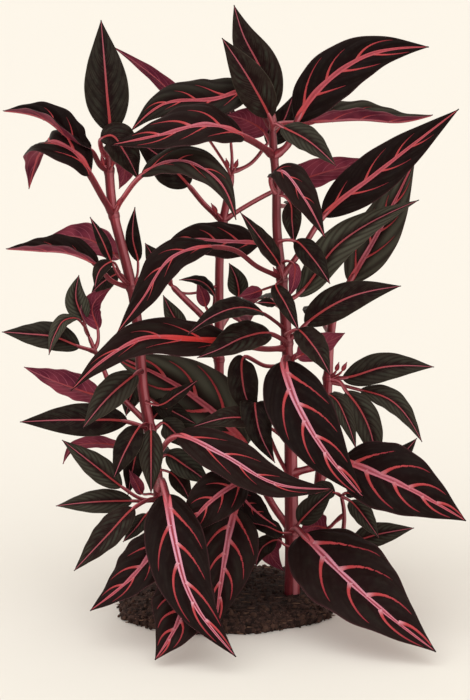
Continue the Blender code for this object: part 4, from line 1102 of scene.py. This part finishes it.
def stem_material():
    """Bloodleaf stem, fleshy with a fine-ridged satin skin: crimson, with painted shade at its left and a
    painted highlight as a pale stripe, painted shade over darker stretches, fine streaks along it and dark
    lines at its nodes."""
    made, node, shader, chosen, turned, knot, tone, painted_shade = new_material(
        "bloodleaf stem", "round", "knot", "tone", "painted_shade")
    streak = grain(node, STREAK, 0.4, 0.66, 2.0, (1, 1, 0.09))
    blotch = grain(node, BLOTCH, 0.3, 0.7, 2.0, (1, 1, 0.3))
    off_node = node("ABSOLUTE", node("SUBTRACT", knot, 0.7))
    base = layered(node, node("mix", blotch, "#6A1621", chosen.stem_colour),
                   ("#B04E56", streak, 0.3),
                   # Painted shade down the left side, then a painted highlight as a pale stripe right of the
                   # middle
                   ("#430D16", node("smooth", turned, -0.05, -0.65), 0.7),
                   ("#D58690", node("smooth", turned, 0.0, 0.35), node("smooth", turned, 0.95, 0.6), 0.6),
                   ("#5E1A26", node("smooth", off_node, 0.2, 0.03), 0.55),
                   ("#B95860", tone, 0.2),
                   # Painted shade over the stems' darker stretches
                   ("#3E0C12", painted_shade, 0.36))
    return finish_material(made, shader, base, 0.42, 0.22, node("bump", streak, 0.00012, 1.0))


def soil_material():
    """Garden soil, loose and dull: dark brown with blacker hollows, pale grit and tan specks of
    straw, and blacker still towards the middle, where painted shade lies under the plant."""
    made, node, shader, chosen, loose, tone, reach = new_material(
        "garden soil", "loose", "tone", "reach")
    crumb = layered(node, node("mix", node("smooth", tone, 0.0, 1.0), "#221613", "#5C443A"),
                    ("#8A6B58", node("GREATER_THAN", tone, 1.0)))
    base = layered(node, node("mix", grain(node, CLOD, 0.35, 0.65, 4.0), "#1E1412", chosen.soil_colour),
                   ("#7D6155", grain(node, GRIT, 0.62, 0.72), 0.75),
                   (crumb, loose, 0.75),
                   # Painted shade: darker towards the mound's middle, under the plant
                   ("#120C0B", node("smooth", reach, 0.9, 0.35), 0.5))
    return finish_material(made, shader, base, 0.95, 0.2,
                           node("bump", raw_grain(node, CRUMBLE, 4.0), 0.0009, 1.0))


def floor_material():
    """Studio paper: plain pale cream."""
    made, node, shader, chosen = new_material("studio paper")
    return finish_material(made, shader, chosen.floor_colour, 0.9, 0.1)


def shared(name, build):
    """The material of a name, built where it isn't there yet."""
    return bpy.data.materials.get(name) or build()


def colour_setting(name, description, code):
    """A colour that the user may change, from its hex code."""
    return FloatVectorProperty(name=name, description=description, default=colour(code), size=4,
                               min=0.0, max=1.0, subtype="COLOR")


class BloodleafSettings(bpy.types.PropertyGroup):
    """What can be set before the pieces are built."""

    blade_thickness: FloatProperty(name="Blade thickness", description="Thickness of a blade at its midrib",
                                   default=0.00055, min=0.0003, max=0.001, unit="LENGTH")
    crumb_count: IntProperty(name="Crumbs", description="How many crumbs of soil lie on the mound",
                             default=1300, min=100, max=2500)
    rim_share: FloatProperty(name="Crumbs at the rim", description="The share of crumbs heaped at the rim",
                             default=0.45, min=0.0, max=1.0, subtype="FACTOR")
    blade_colour: colour_setting("Blade", "The upper side of a leaf at its lightest", "#1E0F0E")
    midrib_colour: colour_setting("Midrib", "The flank of a midrib at its palest", "#DC9FB6")
    stem_colour: colour_setting("Stem", "The lighter blotches of a stem's skin", "#8C2B36")
    soil_colour: colour_setting("Soil", "The lighter clods of the soil", "#45312B")
    floor_colour: colour_setting("Floor", "The plain paper under the plant", "#E3E1DC")
    key_power: FloatProperty(name="Key light", description="Strength of the soft light from the upper left",
                             default=1.05, min=0.1, max=10.0, subtype="FACTOR")


def toned_leaves(owner):
    """Each leaf of a leafy stem with its seeded tone from 0 to 1."""
    leaves = leaves_of(owner)
    return zip(leaves, np.random.default_rng(OWNERS.index(owner) + TONE_SEED).random(len(leaves)))


class BLOODLEAF_OT_blades(bpy.types.Operator):
    """Build the blades of every leafy stem"""

    bl_idname = "bloodleaf.blades"
    bl_label = "Blades"

    def execute(self, context):
        thick = context.scene.bloodleaf.blade_thickness
        for owner in OWNERS:
            tubes = [blade_tube(leaf, tone, thick) for leaf, tone in toned_leaves(owner)]
            make_piece(f"{owner}_blades", tubes, shared("bloodleaf blade", blade_material),
                       [f"{owner}_leafy_stem"])
        return {"FINISHED"}


class BLOODLEAF_OT_veins(bpy.types.Operator):
    """Build the midribs and side veins of every blade"""

    bl_idname = "bloodleaf.veins"
    bl_label = "Veins"

    def execute(self, context):
        for owner in OWNERS:
            tubes = []
            for leaf, tone in toned_leaves(owner):
                tubes += vein_tubes(leaf, PALE_RIBS.get(key_of(leaf), 0.35 * tone))
            make_piece(f"{owner}_veins", tubes, shared("bloodleaf vein", vein_material))
        return {"FINISHED"}


class BLOODLEAF_OT_stems(bpy.types.Operator):
    """Build the stems, their shoots and the leaf stalks"""

    bl_idname = "bloodleaf.stems"
    bl_label = "Stems and stalks"

    def execute(self, context):
        for owner in OWNERS:
            tubes = [stem_tube(name) for name in shoots_of(owner)]
            tubes += [stalk_tube(leaf, tone) for leaf, tone in toned_leaves(owner)]
            make_piece(f"{owner}_stems", tubes, shared("bloodleaf stem", stem_material))
        return {"FINISHED"}


class BLOODLEAF_OT_soil(bpy.types.Operator):
    """Build the mound of soil and its crumbs"""

    bl_idname = "bloodleaf.soil"
    bl_label = "Soil"

    def execute(self, context):
        settings = context.scene.bloodleaf
        make_piece("soil", [soil_tube()], shared("garden soil", soil_material), ["soil_mound"])
        make_piece("soil_crumbs", crumb_tubes(settings.crumb_count, settings.rim_share),
                   shared("garden soil", soil_material))
        return {"FINISHED"}


class BLOODLEAF_OT_stage(bpy.types.Operator):
    """Lay the pale floor and set the lights and the camera"""

    bl_idname = "bloodleaf.stage"
    bl_label = "Stage"

    def execute(self, context):
        scene = context.scene
        floor_mesh = bpy.data.meshes.new("floor")
        corners = [(x * FLOOR_HALF, y * FLOOR_HALF, 0) for x, y in ((-1, -1), (1, -1), (1, 1), (-1, 1))]
        floor_mesh.from_pydata(corners, [], [(0, 1, 2, 3)])
        floor_mesh.materials.append(shared("studio paper", floor_material))
        put("floor", floor_mesh)
        for name, tilt, turn, share in LIGHTS:
            data = bpy.data.lights.new(name, "SUN")
            data.energy, data.angle = scene.bloodleaf.key_power * share, math.radians(LIGHT_SPREAD)
            put(name, data).rotation_euler = (math.radians(tilt), 0, math.radians(turn))
        world = bpy.data.worlds.new("studio air")
        world.use_nodes = True
        world.node_tree.nodes["Background"].inputs[0].default_value = colour("#F9F2E7")
        world.node_tree.nodes["Background"].inputs[1].default_value = 1.0
        scene.world = world
        scene.view_settings.view_transform = "Standard"
        data = bpy.data.cameras.new("camera")
        data.sensor_width, data.lens = SENSOR, SENSOR * FOCAL_PIXELS / (2 * PICTURE_CENTRE[1])
        data.clip_end = CAMERA_REACH
        scene.camera = put("camera", data)
        scene.camera.location = EYE
        scene.camera.rotation_euler = (math.pi / 2 - LOOK_DOWN, 0, 0)
        return {"FINISHED"}


class BLOODLEAF_PT_panel(bpy.types.Panel):
    """The pieces' buttons and settings"""

    bl_idname = "BLOODLEAF_PT_panel"
    bl_label = "Bloodleaf plant"
    bl_space_type = "VIEW_3D"
    bl_region_type = "UI"
    bl_category = "Bloodleaf"

    def draw(self, context):
        for name in BloodleafSettings.__annotations__:
            self.layout.prop(context.scene.bloodleaf, name)
        for operator in OPERATORS:
            self.layout.operator(operator.bl_idname)


OPERATORS = (BLOODLEAF_OT_soil, BLOODLEAF_OT_stems, BLOODLEAF_OT_blades, BLOODLEAF_OT_veins,
             BLOODLEAF_OT_stage)
CLASSES = (BloodleafSettings, *OPERATORS, BLOODLEAF_PT_panel)


def register():
    """Registers the add-on's classes and its settings."""
    for cls in CLASSES:
        bpy.utils.register_class(cls)
    bpy.types.Scene.bloodleaf = PointerProperty(type=BloodleafSettings)


def unregister():
    """Takes the settings and the classes away again."""
    del bpy.types.Scene.bloodleaf
    for cls in reversed(CLASSES):
        bpy.utils.unregister_class(cls)


def main():
    """Builds every piece in order."""
    register()
    for operator in OPERATORS:
        group, name = operator.bl_idname.split(".")
        if getattr(getattr(bpy.ops, group), name)() != {"FINISHED"}:
            raise RuntimeError(f"{operator.bl_idname} did not finish")


if __name__ == "__main__":
    main()
